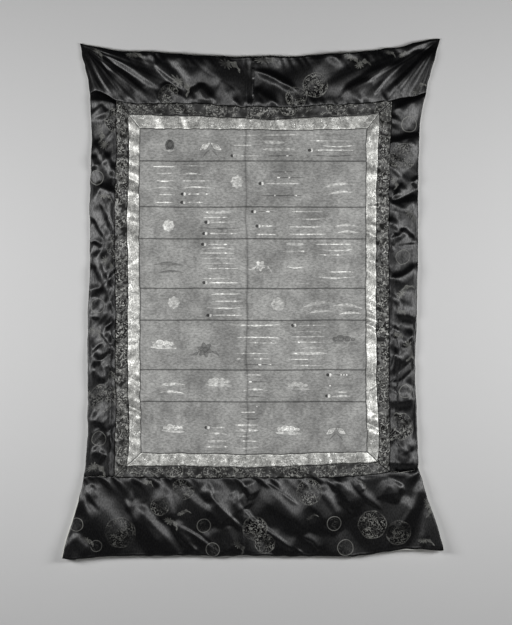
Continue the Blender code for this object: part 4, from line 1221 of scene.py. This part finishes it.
# The studio, in metres: the camera's place, how much it sees from top to foot at the hanging (625 pixels of
# 2.7 mm), the height that the lights aim at, and the grey of the light from all round.
CAMERA_PLACE = (0.0076, -4.0, -0.690)
VIEW_HEIGHT = 1.6875
LIGHTS_MEET = -0.65
WORLD_GREY = 0.014
Softbox = namedtuple("Softbox", "name x y z power width height")
SOFTBOXES = [
    Softbox("left_softbox", -1.4, -1.5, -0.6, 29, 1.3, 0.4),
    Softbox("right_softbox", 1.4, -1.5, -0.6, 29, 1.3, 0.4),
    Softbox("rear_softbox", 1.6, 2.6, 0.6, 60, 1.6, 1.6),
]


class HANGING_OT_studio(bpy.types.Operator):
    """Make the pale wall and floor, the soft lights and the camera"""
    bl_idname = "hanging.studio"
    bl_label = "Studio"

    def execute(self, context):
        scene = context.scene
        settings, colours = scene.hanging_sizes, scene.hanging_colours
        floor_paint, add = studio_paint("matt_floor_paint", colours)
        wall_paint, add = studio_paint("matt_wall_paint", colours)
        # seen from behind, the wall is clear, so that the hanging's back shows
        nodes = wall_paint.node_tree.nodes
        shown = add("MixShader", add("NewGeometry", give="Backfacing"), nodes["Principled BSDF"].outputs[0],
                    add("BsdfTransparent"))
        wall_paint.node_tree.links.new(shown, nodes["Material Output"].inputs["Surface"])
        planes = []
        for name, turn, size, place, paint in (
            ("studio_floor", 0.0, (12, 12, 1), (0, -3, -2.9), floor_paint),
            ("studio_wall", math.pi / 2, (9, 7, 1), (0, settings.wall_behind, 0.6), wall_paint),
        ):
            bpy.ops.mesh.primitive_plane_add(size=1, rotation=(turn, 0, 0))
            plane = context.object
            plane.name = name
            plane.scale, plane.location = size, place
            plane.data.materials.append(paint)
            planes.append(plane)
        floor, wall = planes
        wall.visible_shadow = False

        scene.world = bpy.data.worlds.new("soft_studio") if scene.world is None else scene.world
        scene.world.use_nodes = True
        background = scene.world.node_tree.nodes["Background"]
        background.inputs["Color"].default_value = (WORLD_GREY, WORLD_GREY, WORLD_GREY, 1)
        for box in SOFTBOXES:
            bpy.ops.object.light_add(type="AREA", location=(box.x, box.y, box.z))
            light = context.object
            light.name = box.name
            light.data.shape = "RECTANGLE"
            light.data.size, light.data.size_y = box.width, box.height
            light.data.energy = box.power
            light.visible_camera = False
            aim = np.array([0.0 - box.x, 0.0 - box.y, LIGHTS_MEET - box.z])
            light.rotation_euler = (math.acos(-aim[2] / np.linalg.norm(aim)), 0,
                                    math.atan2(aim[1], aim[0]) - math.pi / 2)
        bpy.ops.object.camera_add(location=CAMERA_PLACE, rotation=(math.pi / 2, 0, 0))
        scene.camera = context.object
        scene.camera.data.lens = scene.camera.data.sensor_width * -CAMERA_PLACE[1] / VIEW_HEIGHT
        scene.view_settings.view_transform = "Standard"
        return {"FINISHED"}


class HANGING_PT_panel(bpy.types.Panel):
    bl_label = "Hanging"
    bl_space_type = "VIEW_3D"
    bl_region_type = "UI"
    bl_category = "Hanging"

    def draw(self, context):
        for operator in OPERATORS:
            self.layout.operator(operator.bl_idname)
        for group in (context.scene.hanging_sizes, context.scene.hanging_colours):
            for name in group.__annotations__:
                self.layout.prop(group, name)


OPERATORS = (HANGING_OT_satin_panels, HANGING_OT_middle_strips, HANGING_OT_light_strips,
             HANGING_OT_painting, HANGING_OT_lining, HANGING_OT_studio)
CLASSES = (HangingSizes, HangingColours, HANGING_PT_panel) + OPERATORS


def register():
    for item in CLASSES:
        bpy.utils.register_class(item)
    bpy.types.Scene.hanging_sizes = PointerProperty(type=HangingSizes)
    bpy.types.Scene.hanging_colours = PointerProperty(type=HangingColours)


def unregister():
    del bpy.types.Scene.hanging_colours
    del bpy.types.Scene.hanging_sizes
    for item in reversed(CLASSES):
        bpy.utils.unregister_class(item)


def main():
    register()
    bpy.ops.hanging.satin_panels()
    bpy.ops.hanging.middle_strips()
    bpy.ops.hanging.light_strips()
    bpy.ops.hanging.painting()
    bpy.ops.hanging.lining()
    bpy.ops.hanging.studio()


if __name__ == "__main__":
    main()
